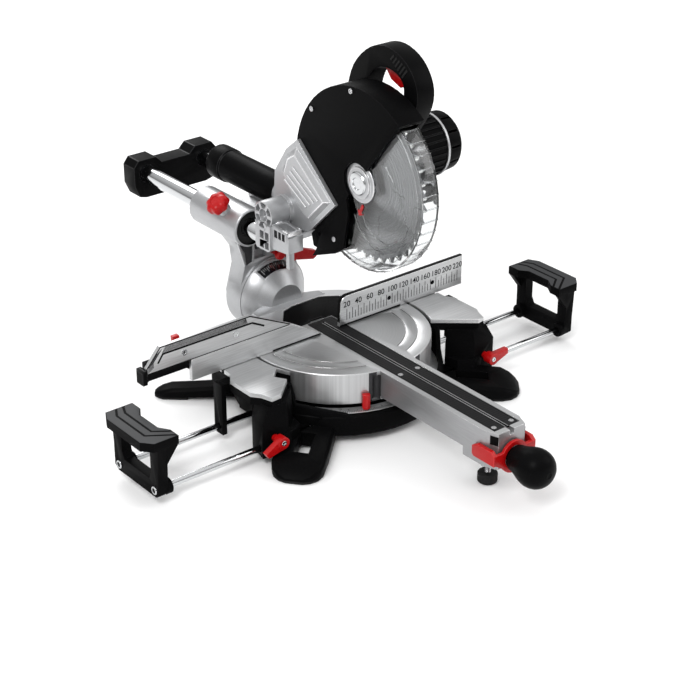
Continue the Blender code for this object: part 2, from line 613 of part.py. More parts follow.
def build_bracket(body):
    """The cast bracket on the rails' front ends, with a ribbed cheek at each side of the head's lug."""
    left_cheek = [(60, 240), (60, 207), (64, 203), (89, 203), (92, 206), (92, 243)]
    right_cheek = [(60, 236), (60, 214), (64, 200), (72, 197), (98, 197), (100, 200), (100, 247)]
    front_block = [(25, 212), (25, 234), (29, 239), (61, 243), (61, 208)]
    boss = (PIVOT_Y, PIVOT_Z)
    solid = box((-58, 58), (70, 91), (203.5, 211))
    steps = [
        add(prism(front_block, "X", -61, -37)),
        add(box((-47, -39), (42, 49), (180, 214))),
        cut(box((-56, -42), (31, 55), (232, 250))),
    ]
    for side, cheek in ((-1, left_cheek), (1, right_cheek)):
        steps += [
            add(prism(cheek, "X", *on_side(side, 32, 65))),
            add(bar("X", 19, *on_side(side, 32, 62), boss, steps=32)),
            cut(bar("Y", RAIL_R + GAP, 83.6, 105, (side * RAIL_X, RAIL_Z), steps=24)),
        ]
    # the left cheek is cored out behind its ribs, the boss between its spokes
    for start in range(-60, 300, 60):
        pocket = arc(17, start + 8, start + 52, boss, 4) + arc(9.5, start + 46, start + 14, boss, 2)
        steps.append(cut(prism(pocket, "X", -66, -54)))
    for y0, y1 in ((63, 71.5), (74, 82.5)):
        for z0, z1 in ((206, 216.5), (219, 230)):
            steps.append(cut(box((-66, -57), (y0, y1), (z0, z1))))
    steps += [
        cut(bar("X", 7.3, -57, 57, boss, steps=24)),
        cut(bar("X", 8.5, -66, -55.9, boss, steps=24)),
        cut(bar("X", 3.8, 30, 68, (93, 239), steps=16)),
    ]
    node("head_bracket", "cast_aluminium", body, solid, *steps)


# ------------------------------------------------------------------------------------------------ head

def build_head(carriage):
    head = pivot("head", (0, PIVOT_Y, PIVOT_Z), carriage)
    arm = [(55, 3), (134, 12), (146, 26), (163, 46), (171, 62), (162, 84), (128, 108), (82, 112), (52, 106)]
    neck_place = HEAD @ axis_place((0, 152, 70), (0, 0.629, 0.777))
    node("head_arm", "cast_aluminium", head, prism(arm, "X", -26, 26, HEAD),
         add(bar("X", 20, -31.5, 31.5, HEAD_PIVOT, steps=32, place=HEAD)),
         add(bar("Z", 19, 0, 32, place=neck_place)),
         cut(bar("X", COVER_R + 0.4, -20.4, 20.4, steps=64, place=HEAD)),
         cut(bar("Z", 13, 8, 40, place=neck_place)),
         cut(box((-13, 13), (100, 152), (70, 92), HEAD)),
         cut(box((-20.4, 20.4), (40, 128), (-10, 14), HEAD)),
         cut(bar("X", 7.3, -40, 40, HEAD_PIVOT, place=HEAD)))

    chute = [(30, 6), (48, -15), (80, -33), (95, -41), (114, -36), (160, -11), (142, -9), (146, -3),
             (136, 10.5), (60, 2.4)]
    shell = arc(COVER_R, 0, 180, steps=28)
    inside = arc(GUARD_R + 2.5, -60, 192, steps=30)
    node("upper_guard", "black_plastic", head, prism(shell, "X", -20, 20, HEAD),
         add(prism(chute, "X", -20, 20, HEAD)),
         cut(prism(inside + [(-118, -70), (20, -90)], "X", -15.5, 15.5, HEAD)),
         cut(bar("X", 32.6, 14, 22, place=HEAD, steps=24)),
         cut(bar("X", 27, -22, -14, place=HEAD, steps=24)),
         cut(box((-22, 22), (119, 126), (-2, 3), HEAD)))

    spigot = [(32.4, 19), (44, 21), (60, 22.5), (150, 22.5), (152, 24.5), (178, 24.5), (178, 20.5), (32.4, 15)]
    node("dust_spigot", "black_plastic", head,
         turned(spigot, "Z", steps=24, place=neck_place, hollow=True))
    blade = pivot("blade", (0, BLADE_Y, BLADE_Z), head)
    guard = pivot("lower_guard", (0, BLADE_Y, BLADE_Z), head)
    build_drive(head)
    build_handle(head)
    build_blade(blade)
    build_guard(guard)


def housing_web(grow):
    """The outline between the gear housing's two bosses, along their common tangents."""
    centre = Vector((MOTOR_Y, MOTOR_Z))
    along = centre.normalized()
    lean = (ARBOR_BOSS_R - MOTOR_BOSS_R) / centre.length
    outline = []
    for side in (1, -1):
        normal = side * math.sqrt(1 - lean**2) * Vector((-along.y, along.x)) + lean * along
        ends = [(ARBOR_BOSS_R + grow) * normal, centre + (MOTOR_BOSS_R + grow) * normal]
        outline += ends if side > 0 else ends[::-1]
    return [tuple(p) for p in outline]


def build_drive(head):
    """Gear housing and motor, to the right of the blade."""
    motor = (MOTOR_Y, MOTOR_Z)
    node("gear_housing", "cast_aluminium", head, bar("X", ARBOR_BOSS_R, 26.5, 48, place=HEAD, steps=32),
         add(bar("X", MOTOR_BOSS_R, 26.5, 48, motor, place=HEAD, steps=32)),
         add(prism(housing_web(0), "X", 26.5, 48, HEAD)),
         add(bar("X", 32, 15, 27.5, place=HEAD, steps=24)),
         cut(bar("X", 37.5, 29, 42, place=HEAD, steps=32)),
         cut(bar("X", 18, 29, 49, motor, place=HEAD, steps=24)),
         cut(bar("X", 8.4, 14, 30, place=HEAD, steps=24)),
         cut(bar("X", 3.4, 41, 49, (-14, -20), place=HEAD, steps=12)))

    shell = [(48.4, 30), (48.4, 44), (58, 44), (60, 42), (146, 42), (146, 37.5), (54, 37.5), (54, 30)]
    node("motor_housing", "black_plastic", head,
         turned(shell, "X", motor, steps=32, place=HEAD, hollow=True),
         add(bar("Y", 11, MOTOR_Y + 40, MOTOR_Y + 50, (132, MOTOR_Z), place=HEAD, steps=20)),
         cut(bar("X", 37.5, 100, 147, motor, place=HEAD, steps=32)))
    cap = [(146.4, 33), (146.4, 42), (168, 40), (174, 34), (176, 22), (176, 8), (171, 8), (170, 33)]
    node("motor_end_cap", "black_plastic", head,
         turned(cap, "X", motor, steps=32, place=HEAD, hollow=True),
         *[cut(box((150, 166), (-60, 60), (-1.8, 1.8),
                   HEAD @ Matrix.Translation((0, MOTOR_Y, MOTOR_Z)) @ Matrix.Rotation(math.radians(a), 4, "X")))
           for a in (15, 45, 75, 105, 135, 165)])
    gland = [(0.4, 8), (4, 8), (6, 6.2), (26, 5)]
    node("cord_gland", "rubber", head,
         turned(gland, "Y", steps=16, place=HEAD @ Matrix.Translation((132, MOTOR_Y + 50, MOTOR_Z))))

    armature = pivot("armature", HEAD @ Vector((0, *motor)), head)
    rotor = [(31, 16.3), (40, 16.3), (40.1, 5), (62, 5), (62.1, 27), (126, 27), (126.1, 14), (140, 14),
             (140.1, 5), (169, 5)]
    node("motor_armature", "copper", armature, turned(rotor, "X", motor, steps=24, place=HEAD))

    lock = pivot("spindle_lock", HEAD @ Vector((48, -14, -20)), head)
    button = [(43, 3), (50.4, 3), (50.5, 7), (55.5, 7), (57, 5.5)]
    node("spindle_lock_button", "red_plastic", lock, turned(button, "X", (-14, -20), steps=20, place=HEAD))


def build_handle(head):
    """The D handle beside the guard, with its trigger and lock-off button."""
    loop = [(16, 100), (-16, 116), (-60, 132), (-104, 126), (-132, 104), (-144, 70), (-136, 38), (-112, 20),
            (-70, 14), (-36, 14), (-20, 40)]
    hole = [(-44, 46), (-36, 72), (-50, 94), (-78, 104), (-100, 98), (-116, 80), (-120, 60), (-108, 46),
            (-84, 40)]
    node("handle", "black_plastic", head, prism(rounded(loop), "X", 26.5, 54, HEAD),
         cut(prism(rounded(hole), "X", 20, 60, HEAD)),
         cut(bar("X", ARBOR_BOSS_R + 0.5, 20, 60, place=HEAD, steps=32)),
         cut(bar("X", MOTOR_BOSS_R + 0.5, 20, 60, (MOTOR_Y, MOTOR_Z), place=HEAD, steps=32)),
         cut(prism(housing_web(0.5), "X", 20, 60, HEAD)),
         cut(bar("X", 6.4, 48, 56, (-46, 112), place=HEAD, steps=20)),
         cut(box((34.5, 46.5), (-130, -96), (74, 100), HEAD)))
    trigger = pivot("trigger", HEAD @ Vector((40, -102, 102)), head)
    blade = [(-103, 98.5), (-98, 95.5), (-95, 80), (-101, 62), (-108, 58), (-113, 64), (-108, 76), (-114, 82)]
    node("trigger", "red_plastic", trigger, prism(blade, "X", 35.2, 45.8, HEAD), bevel=0.8)
    lock = pivot("lock_off", HEAD @ Vector((54, -46, 112)), head)
    button = [(50, 6), (57, 6), (58.5, 4.5)]
    node("lock_off_button", "red_plastic", lock, turned(button, "X", (-46, 112), steps=20, place=HEAD))


def build_blade(blade):
    """The blade, and what clamps and turns it."""
    tips = arc(BLADE_R, 0, 351, steps=39)
    gullets = arc(BLADE_R - 8, 4, 355, steps=39)
    outline = [point for tooth in zip(tips, gullets) for point in tooth]
    node("saw_blade", "blade_steel", blade, prism(outline, "X", -1.1, 1.1, HEAD),
         cut(bar("X", 8.3, -3, 3, place=HEAD, steps=24)))
    spindle = [(-8, 8), (30.9, 8), (31, 35.5), (40, 35.5), (40.1, 8), (42, 8)]
    node("spindle_and_gear", "bare_steel", blade, turned(spindle, "X", steps=32, place=HEAD))
    inner = [(1.4, 8.3), (1.4, 22), (5, 22), (6, 13), (14, 13), (14, 8.3)]
    outer = [(-1.4, 8.3), (-1.4, 22), (-4, 22), (-5.5, 13), (-8, 13), (-8, 8.3)]
    for word, profile in (("inner", inner), ("outer", outer)):
        node(f"{word}_flange", "bare_steel", blade, turned(profile, "X", steps=20, place=HEAD, hollow=True))
    node("blade_bolt", "bare_steel", blade,
         turned([(-9.9, 8), (-8.3, 8)], "X", steps=6, place=HEAD))


def build_guard(guard):
    """The clear guard that turns about the blade's axis, and its hub plate."""
    sector = arc(GUARD_R, 161, 361, steps=36)
    hollow = arc(GUARD_R - 3, 155, 367, steps=36)
    centre = [(22, 8), (-14, 20)]
    node("lower_guard", "clear_plastic", guard, prism(sector + centre, "X", -13, 13, HEAD),
         cut(prism(hollow + [(30, 14), (-20, 30)], "X", -10.5, 10.5, HEAD)),
         cut(bar("X", 48, 9, 14, place=HEAD, steps=32)),
         cut(prism([(-60, 70), (60, 70), (60, 0), (-40, 0)], "X", 9, 14, HEAD)),
         cut(bar("X", 16.3, -14, -9, place=HEAD, steps=24)))
    node("guard_hub", "cast_aluminium", guard, bar("X", 27, -14.9, -13.3, place=HEAD, steps=32),
         add(bar("X", 21, -18, -14, place=HEAD, steps=24)),
         add(bar("X", 15.8, -15, -10.4, place=HEAD, steps=24)))


# ----------------------------------------------------------------------------------------------- build

for old in list(bpy.data.objects):
    bpy.data.objects.remove(old, do_unlink=True)
MATERIALS = make_finishes()

base_pivot = pivot("base")
build_base(base_pivot)
build_fences(base_pivot)
build_sliding_fence(base_pivot)
for hand, sign, clamp_lean in (("left", -1, 14), ("right", 1, 46)):
    build_clamp(f"{hand}_clamp_lever", base_pivot, sign, clamp_lean)
    build_support(hand, base_pivot, sign)
turntable_pivot = pivot("turntable", (0, 0, TABLE), base_pivot)
build_turntable(turntable_pivot)
build_tilt_arm(turntable_pivot)
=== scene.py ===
"""Looks for the sliding mitre saw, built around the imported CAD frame.

Lengths in the tables here are millimetres in the CAD's frame. The head's own pieces are drawn about the
blade's centre with the head down, as the CAD's are, and HEAD raises them to where the head rests.
"""

import json
import math

import bmesh
import bpy
from mathutils import Matrix, Vector


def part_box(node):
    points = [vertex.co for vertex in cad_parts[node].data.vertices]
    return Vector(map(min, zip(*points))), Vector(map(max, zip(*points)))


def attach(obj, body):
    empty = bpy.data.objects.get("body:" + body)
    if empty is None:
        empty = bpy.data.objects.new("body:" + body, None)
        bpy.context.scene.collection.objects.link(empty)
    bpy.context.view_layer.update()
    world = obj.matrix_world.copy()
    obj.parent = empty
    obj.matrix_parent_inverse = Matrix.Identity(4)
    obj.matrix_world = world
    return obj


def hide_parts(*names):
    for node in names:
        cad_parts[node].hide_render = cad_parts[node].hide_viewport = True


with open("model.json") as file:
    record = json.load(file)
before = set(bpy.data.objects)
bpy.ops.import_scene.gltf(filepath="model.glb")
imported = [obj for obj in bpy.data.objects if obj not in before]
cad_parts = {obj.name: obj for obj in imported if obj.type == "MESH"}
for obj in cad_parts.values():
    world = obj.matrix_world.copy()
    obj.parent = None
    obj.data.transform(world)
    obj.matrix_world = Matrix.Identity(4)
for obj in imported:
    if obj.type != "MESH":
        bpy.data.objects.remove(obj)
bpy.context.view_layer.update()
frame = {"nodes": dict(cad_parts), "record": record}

MM = 0.001
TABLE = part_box("left_table_plate")[1].z / MM
FENCE_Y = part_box("right_fence")[0].y / MM
BODY_OF = {node: body for body, nodes in frame["record"]["behaviour"]["bodies"].items() for node in nodes}
SLOT_OF = {part["node"]: part["material_slot"] for part in frame["record"]["subparts"]}
JOINT = {joint["name"]: joint for joint in frame["record"]["behaviour"]["joints"]}


def swing(degrees, axis):
    return Matrix.Rotation(math.radians(degrees), 4, axis)


RAISE = 51.0  # degrees that the head stands above its lowest position
BLADE_Y, BLADE_Z = (value / MM for value in JOINT["blade_spin"]["pos_m"][1:])
HEAD = Matrix.Translation((0, BLADE_Y, BLADE_Z)) @ swing(-RAISE, "X")
BLADE_R = 108.0
TEETH = 40
GUARD_R = 117.0
GUARD_FACE, GUARD_RAISED = -12.8, -13.9  # X inside and outside of what stands on the guard's side
MOTOR = (34.0, 40.0)  # Y and Z of the motor's axis from the blade's
PIVOT = (78.0, 251.0)  # Y and Z of the head's hinge
RAIL_X, RAIL_Z = 50.0, 214.0
HANDLE_Z = 57.0
JACK_Y = -300.0
CLAMP_X, CLAMP_Z = 180.0, 37.0


# --------------------------------------------------------------------------------------------- camera

def aim(obj, place, target):
    obj.location = place
    obj.rotation_euler = (Vector(target) - Vector(place)).to_track_quat("-Z", "Y").to_euler()


def make_camera():
    camera = bpy.data.objects.new("camera", bpy.data.cameras.new("camera"))
    bpy.context.collection.objects.link(camera)
    camera.data.sensor_width = 36
    camera.data.lens = 93.05
    camera.data.clip_end = 20
    right = Vector((0.7793, -0.6266, 0.0))
    forward = Vector((0.5572, 0.6930, -0.4574))
    up = right.cross(forward).normalized()
    turn = Matrix((right, up, -forward)).transposed().to_4x4()
    camera.matrix_world = Matrix.Translation((-1.3177, -1.6450, 1.1619)) @ turn
    bpy.context.scene.camera = camera


def make_light(name, place, target, size, watts):
    lamp = bpy.data.objects.new(name, bpy.data.lights.new(name, "AREA"))
    lamp.data.size = size
    lamp.data.energy = watts
    bpy.context.collection.objects.link(lamp)
    aim(lamp, place, target)


def make_floor():
    floor = bpy.data.objects.new("floor", bpy.data.meshes.new("floor"))
    far = 40
    corners = [(-far, -far, 0), (far, -far, 0), (far, far, 0), (-far, far, 0)]
    floor.data.from_pydata(corners, [], [(0, 1, 2, 3)])
    bpy.context.collection.objects.link(floor)
    floor.location.z = -0.0002
    pale = bpy.data.materials.new("floor")
    pale.use_nodes = True
    shader = pale.node_tree.nodes["Principled BSDF"]
    shader.inputs["Base Color"].default_value = (0.95, 0.95, 0.95, 1)
    shader.inputs["Roughness"].default_value = 0.9
    shader.inputs["Specular IOR Level"].default_value = 0.1
    floor.data.materials.append(pale)


def make_world():
    """A sky brighter overhead than at the horizon, for metal to reflect. The camera sees it plain white."""
    world = bpy.data.worlds.new("studio")
    world.use_nodes = True
    nodes, links = world.node_tree.nodes, world.node_tree.links
    direction = nodes.new("ShaderNodeTexCoord")
    parts = nodes.new("ShaderNodeSeparateXYZ")
    level = nodes.new("ShaderNodeMapRange")
    level.inputs["From Min"].default_value = -0.1
    level.inputs["From Max"].default_value = 0.9
    level.inputs["To Min"].default_value = 0.18
    level.inputs["To Max"].default_value = 1.05
    links.new(direction.outputs["Generated"], parts.inputs[0])
    links.new(parts.outputs["Z"], level.inputs["Value"])
    seen = nodes.new("ShaderNodeLightPath")
    mix = nodes.new("ShaderNodeMix")
    mix.inputs["B"].default_value = 1.0
    links.new(seen.outputs["Is Camera Ray"], mix.inputs["Factor"])
    links.new(level.outputs["Result"], mix.inputs["A"])
    links.new(mix.outputs["Result"], nodes["Background"].inputs["Strength"])
    nodes["Background"].inputs["Color"].default_value = (1, 1, 1, 1)
    bpy.context.scene.world = world


def make_studio():
    make_floor()
    make_world()
    bpy.context.scene.view_settings.view_transform = "Standard"
    middle = (0, 0, 0.15)
    make_light("key", (-1.7, -1.0, 2.1), middle, 1.0, 36)
    make_light("fill", (1.9, -1.5, 1.5), middle, 1.6, 15)
    make_light("back", (0.6, 2.2, 1.9), middle, 1.4, 30)


make_camera()
make_studio()


# ------------------------------------------------------------------------------------------ materials

def grain(scale, detail=3.0, stretch=(1, 1, 1)):
    """Even noise, or streaks where it is stretched along an axis."""
    def build(tree):
        place = tree.nodes.new("ShaderNodeTexCoord")
        mapping = tree.nodes.new("ShaderNodeMapping")
        mapping.inputs["Scale"].default_value = stretch
        noise = tree.nodes.new("ShaderNodeTexNoise")
        noise.inputs["Scale"].default_value = scale
        noise.inputs["Detail"].default_value = detail
        tree.links.new(place.outputs["Object"], mapping.inputs["Vector"])
        tree.links.new(mapping.outputs["Vector"], noise.inputs["Vector"])
        return noise.outputs["Fac"]
    return build


def about(tree, centre, mask):
    """The place from a centre in millimetres, flattened by a mask, as a vector and its length in metres."""
    place = tree.nodes.new("ShaderNodeTexCoord")
    shift = tree.nodes.new("ShaderNodeVectorMath")
    shift.operation = "SUBTRACT"
    shift.inputs[1].default_value = Vector(centre) * MM
    flat = tree.nodes.new("ShaderNodeVectorMath")
    flat.operation = "MULTIPLY"
    flat.inputs[1].default_value = mask
    length = tree.nodes.new("ShaderNodeVectorMath")
    length.operation = "LENGTH"
    tree.links.new(place.outputs["Object"], shift.inputs[0])
    tree.links.new(shift.outputs[0], flat.inputs[0])
    tree.links.new(flat.outputs[0], length.inputs[0])
    return flat.outputs[0], length.outputs["Value"]


def line_noise(tree, value, scale):
    noise = tree.nodes.new("ShaderNodeTexNoise")
    noise.noise_dimensions = "1D"
    noise.inputs["Scale"].default_value = scale
    noise.inputs["Detail"].default_value = 4.0
    tree.links.new(value, noise.inputs["W"])
    return noise.outputs["Fac"]


def rings(centre, mask, scale):
    """Tool marks in circles round a centre."""
    def build(tree):
        return line_noise(tree, about(tree, centre, mask)[1], scale)
    return build


def lathe(scale, streaks):
    """A turned part on the Z axis: rings on its top and upright streaks on its side."""
    def build(tree):
        flat, radius = about(tree, (0, 0, 0), (1, 1, 0))
        parts = tree.nodes.new("ShaderNodeSeparateXYZ")
        angle = tree.nodes.new("ShaderNodeMath")
        angle.operation = "ARCTAN2"
        tree.links.new(flat, parts.inputs[0])
        tree.links.new(parts.outputs["Y"], angle.inputs[0])
        tree.links.new(parts.outputs["X"], angle.inputs[1])
        facing = tree.nodes.new("ShaderNodeTexCoord")
        up = tree.nodes.new("ShaderNodeSeparateXYZ")
        tree.links.new(facing.outputs["Normal"], up.inputs[0])
        mix = tree.nodes.new("ShaderNodeMix")
        tree.links.new(up.outputs["Z"], mix.inputs["Factor"])
        tree.links.new(line_noise(tree, angle.outputs[0], streaks), mix.inputs["A"])
        tree.links.new(line_noise(tree, radius, scale), mix.inputs["B"])
        return mix.outputs["Result"]
    return build


def material(name, colour, metallic, roughness, pattern, tone, spread, bump=0.0, specular=0.5):
    """A finish whose pattern varies its colour by tone and its roughness by spread, as shares of them.

    The pattern also raises the surface by bump, in millimetres.
    """
    made = bpy.data.materials.new(name)
    made.use_nodes = True
    tree = made.node_tree
    shader = tree.nodes["Principled BSDF"]
    shader.inputs["Base Color"].default_value = (*colour, 1)
    shader.inputs["Metallic"].default_value = metallic
    shader.inputs["Roughness"].default_value = roughness
    shader.inputs["Specular IOR Level"].default_value = specular
    value = pattern(tree)
    for amount, socket, middle in ((tone, "Base Color", Vector(colour)),
                                   (spread, "Roughness", Vector([roughness] * 3))):
        if not amount:
            continue
        ends = [[max(0.0, v) for v in middle * (1 - amount)], [min(1.0, v) for v in middle * (1 + amount)]]
        steps = tree.nodes.new("ShaderNodeValToRGB")
        for element, place, end in zip(steps.color_ramp.elements, (0.36, 0.64), ends):
            element.position = place
            element.color = (*end, 1)
        tree.links.new(value, steps.inputs["Fac"])
        tree.links.new(steps.outputs["Color"], shader.inputs[socket])
    if bump:
        raised = tree.nodes.new("ShaderNodeBump")
        raised.inputs["Distance"].default_value = bump * MM
        raised.inputs["Strength"].default_value = 1.0
        tree.links.new(value, raised.inputs["Height"])
        tree.links.new(raised.outputs["Normal"], shader.inputs["Normal"])
    return made


BLADE_CENTRE = (0, BLADE_Y, BLADE_Z)
ACROSS_X = (0, 1, 1)
MATERIAL = {
    "cast_aluminium": material("cast_aluminium", (0.44, 0.445, 0.455), 0.7, 0.36,
                               grain(1500), 0.10, 0.12, 0.02),
    # Painted shade: a dark copy of cast aluminium for grooves, hollows, pockets, panels, knurling and faces
    # under the table top.
    "cast_painted_shade": material("cast_painted_shade", (0.045, 0.045, 0.048), 0.5, 0.55,
                            grain(1200), 0.3, 0.1, 0.03),
    # Painted shade: a dark copy of cast aluminium for the bevel hub's forward faces.
    "hub_face_painted_shade": material("hub_face_painted_shade", (0.085, 0.085, 0.09), 0.2, 0.6,
                         grain(1500), 0.10, 0.12, 0.02),
    "scale_glass": material("scale_glass", (0.004, 0.004, 0.005), 0.0, 0.08,
                            grain(300), 0.1, 0.2),
    # Painted highlight: a bright copy of cast aluminium for rounded edges; the bracket's fittings also take
    # it as their colour.
    "cast_highlight_and_fittings": material("cast_highlight_and_fittings", (0.80, 0.80, 0.81), 0.7, 0.25,
                          grain(900), 0.06, 0.1),
    "machined_aluminium": material("machined_aluminium", (0.56, 0.565, 0.57), 0.8, 0.4,
                                   grain(700, 4, (0.03, 1, 1)), 0.10, 0.2, 0.006),
    # Painted highlight: a bright copy of machined aluminium for rounded edges and the turntable arm's upward
    # faces; the bevel scale's printed marks also take it.
    "machined_highlight_and_marks": material("machined_highlight_and_marks", (0.86, 0.86, 0.86), 0.85, 0.2,
                              grain(900), 0.05, 0.1),
    "turned_aluminium": material("turned_aluminium", (0.52, 0.525, 0.53), 0.85, 0.33,
                                 lathe(900, 26), 0.07, 0.12, 0.005),
    "arm_aluminium": material("arm_aluminium", (0.36, 0.362, 0.37), 0.75, 0.4,
                              grain(800, 5, (1, 0.04, 1)), 0.06, 0.1, 0.004),
    "black_casting": material("black_casting", (0.003, 0.003, 0.0032), 0.0, 0.4,
                              grain(900), 0.3, 0.2, 0.02, specular=0.02),
    "black_plastic": material("black_plastic", (0.003, 0.003, 0.0032), 0.0, 0.36,
                              grain(2400), 0.4, 0.2, 0.012, specular=0.03),
    # Painted highlight: a lighter, glossier black for rounded edges.
    "black_edge_highlight": material("black_edge_highlight", (0.014, 0.014, 0.015), 0.0, 0.28,
                           grain(900), 0.2, 0.2, specular=0.12),
    "insert_plastic": material("insert_plastic", (0.008, 0.008, 0.0085), 0.0, 0.42,
                               grain(1800), 0.5, 0.2, 0.02, specular=0.12),
    "support_plastic": material("support_plastic", (0.003, 0.003, 0.0032), 0.0, 0.42,
                                grain(2000), 0.4, 0.2, 0.012, specular=0.02),
    "support_top": material("support_top", (0.035, 0.036, 0.038), 0.0, 0.45,
                            grain(2000), 0.2, 0.2, 0.012, specular=0.12),
    "paint_black": material("paint_black", (0.004, 0.004, 0.004), 0.0, 0.5,
                            grain(2000), 0.3, 0.1, specular=0.1),
    "rubber": material("rubber", (0.012, 0.012, 0.012), 0.0, 0.7,
                       grain(1600), 0.4, 0.15, 0.03, specular=0.2),
    "chrome": material("chrome", (0.60, 0.61, 0.62), 1.0, 0.09,
                       grain(900, 3, (1, 0.02, 1)), 0.05, 0.4),
    "bare_steel": material("bare_steel", (0.5, 0.5, 0.51), 1.0, 0.26,
                           grain(1300), 0.15, 0.3, 0.004),
    "blade_steel": material("blade_steel", (0.20, 0.205, 0.21), 0.9, 0.30,
                            rings(BLADE_CENTRE, ACROSS_X, 1600), 0.22, 0.25, 0.006),
    "carbide": material("carbide", (0.80, 0.80, 0.78), 0.9, 0.2,
                        grain(2000), 0.1, 0.3),
    "red_plastic": material("red_plastic", (0.42, 0.003, 0.004), 0.0, 0.32,
                            grain(1800), 0.12, 0.2, 0.012, specular=0.3),
    # Painted highlight: a lighter red for rounded edges.
    "red_edge_highlight": material("red_edge_highlight", (0.56, 0.015, 0.016), 0.0, 0.28,
                         grain(900), 0.08, 0.2, specular=0.4),
    "clear_plastic": material("clear_plastic", (0.95, 0.96, 0.965), 0.0, 0.035,
                              grain(160, 2), 0.0, 0.5, 0.03),
    "copper": material("copper", (0.65, 0.27, 0.13), 1.0, 0.35,
                       grain(900, 3, (1, 0.2, 0.2)), 0.2, 0.2, 0.05),
}
MATERIAL["clear_plastic"].node_tree.nodes["Principled BSDF"].inputs["Transmission Weight"].default_value = 1.0
# Each finish's bright copy, which its rounded edges take as a painted highlight.
EDGE_HIGHLIGHT_OF = {"cast_aluminium": "cast_highlight_and_fittings", "machined_aluminium": "machined_highlight_and_marks",
           "turned_aluminium": "machined_highlight_and_marks", "black_casting": "black_edge_highlight",
           "black_plastic": "black_edge_highlight", "support_plastic": "black_edge_highlight", "red_plastic": "red_edge_highlight"}


# --------------------------------------------------------------------------------------------- pieces

def dress(piece, body, finish, edge_width=0.0, segments=2, angle=28.0, edges=True):
    """Gives a piece its materials, its rounded edges, which can take a brighter copy of its finish as a
    painted highlight, and its body.
    """
    piece.data.materials.clear()
    names = [finish] if isinstance(finish, str) else list(finish)
    for name in names:
        piece.data.materials.append(MATERIAL[name])
    piece.data.shade_smooth()
    if edge_width:
        edge = piece.modifiers.new("edges", "BEVEL")
        edge.width = edge_width * MM
        edge.segments = segments
        edge.limit_method = "ANGLE"
        edge.angle_limit = math.radians(angle)
        edge.use_clamp_overlap = True
        edge.harden_normals = True
        edge.miter_outer = "MITER_ARC"
        # The rounded edges take a brighter copy of the finish: a painted highlight.
        if edges and names[0] in EDGE_HIGHLIGHT_OF:
            piece.data.materials.append(MATERIAL[EDGE_HIGHLIGHT_OF[names[0]]])
            edge.material = len(names)
    else:
        piece.data.set_sharp_from_angle(angle=math.radians(angle))
    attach(piece, body)
    return piece


def refine(node, finish=None, width=0.6, segments=2, angle=28.0, paint=None, edges=True):
    """A copy of a CAD node with its flat faces joined and its edges rounded, which stands for the node.

    Paint picks a face's finish from its centre, in millimetres, and its normal.
    """
    bm = bmesh.new()
    bm.from_mesh(frame["nodes"][node].data)
    bmesh.ops.remove_doubles(bm, verts=bm.verts, dist=0.02 * MM)
    bmesh.ops.dissolve_limit(bm, angle_limit=math.radians(1.0), verts=bm.verts, edges=bm.edges)
    for face in bm.faces:
        face.material_index = paint(face.calc_center_median() / MM, face.normal) if paint else 0
    mesh = bpy.data.meshes.new(node + "_finished")
    bm.to_mesh(mesh)
    bm.free()
    piece = bpy.data.objects.new(node + "_finished", mesh)
    bpy.context.collection.objects.link(piece)
    dress(piece, BODY_OF[node], finish or SLOT_OF[node], width, segments, angle, edges)
    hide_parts(node)
    return piece


def spot(axis, u, v, along):
    """A point from its two coordinates across an axis, in X, Y, Z order, and the one along it."""
    return {"X": (along, u, v), "Y": (u, along, v), "Z": (u, v, along)}[axis]


def arc(radius, start, stop, centre=(0.0, 0.0), steps=12):
    angles = [math.radians(start + (stop - start) * i / steps) for i in range(steps + 1)]
    return [(centre[0] + radius * math.cos(a), centre[1] + radius * math.sin(a)) for a in angles]


def axis_place(origin, direction):
    """A place whose Z axis runs along a direction."""
    return Matrix.Translation(origin) @ Vector(direction).to_track_quat("Z", "Y").to_matrix().to_4x4()


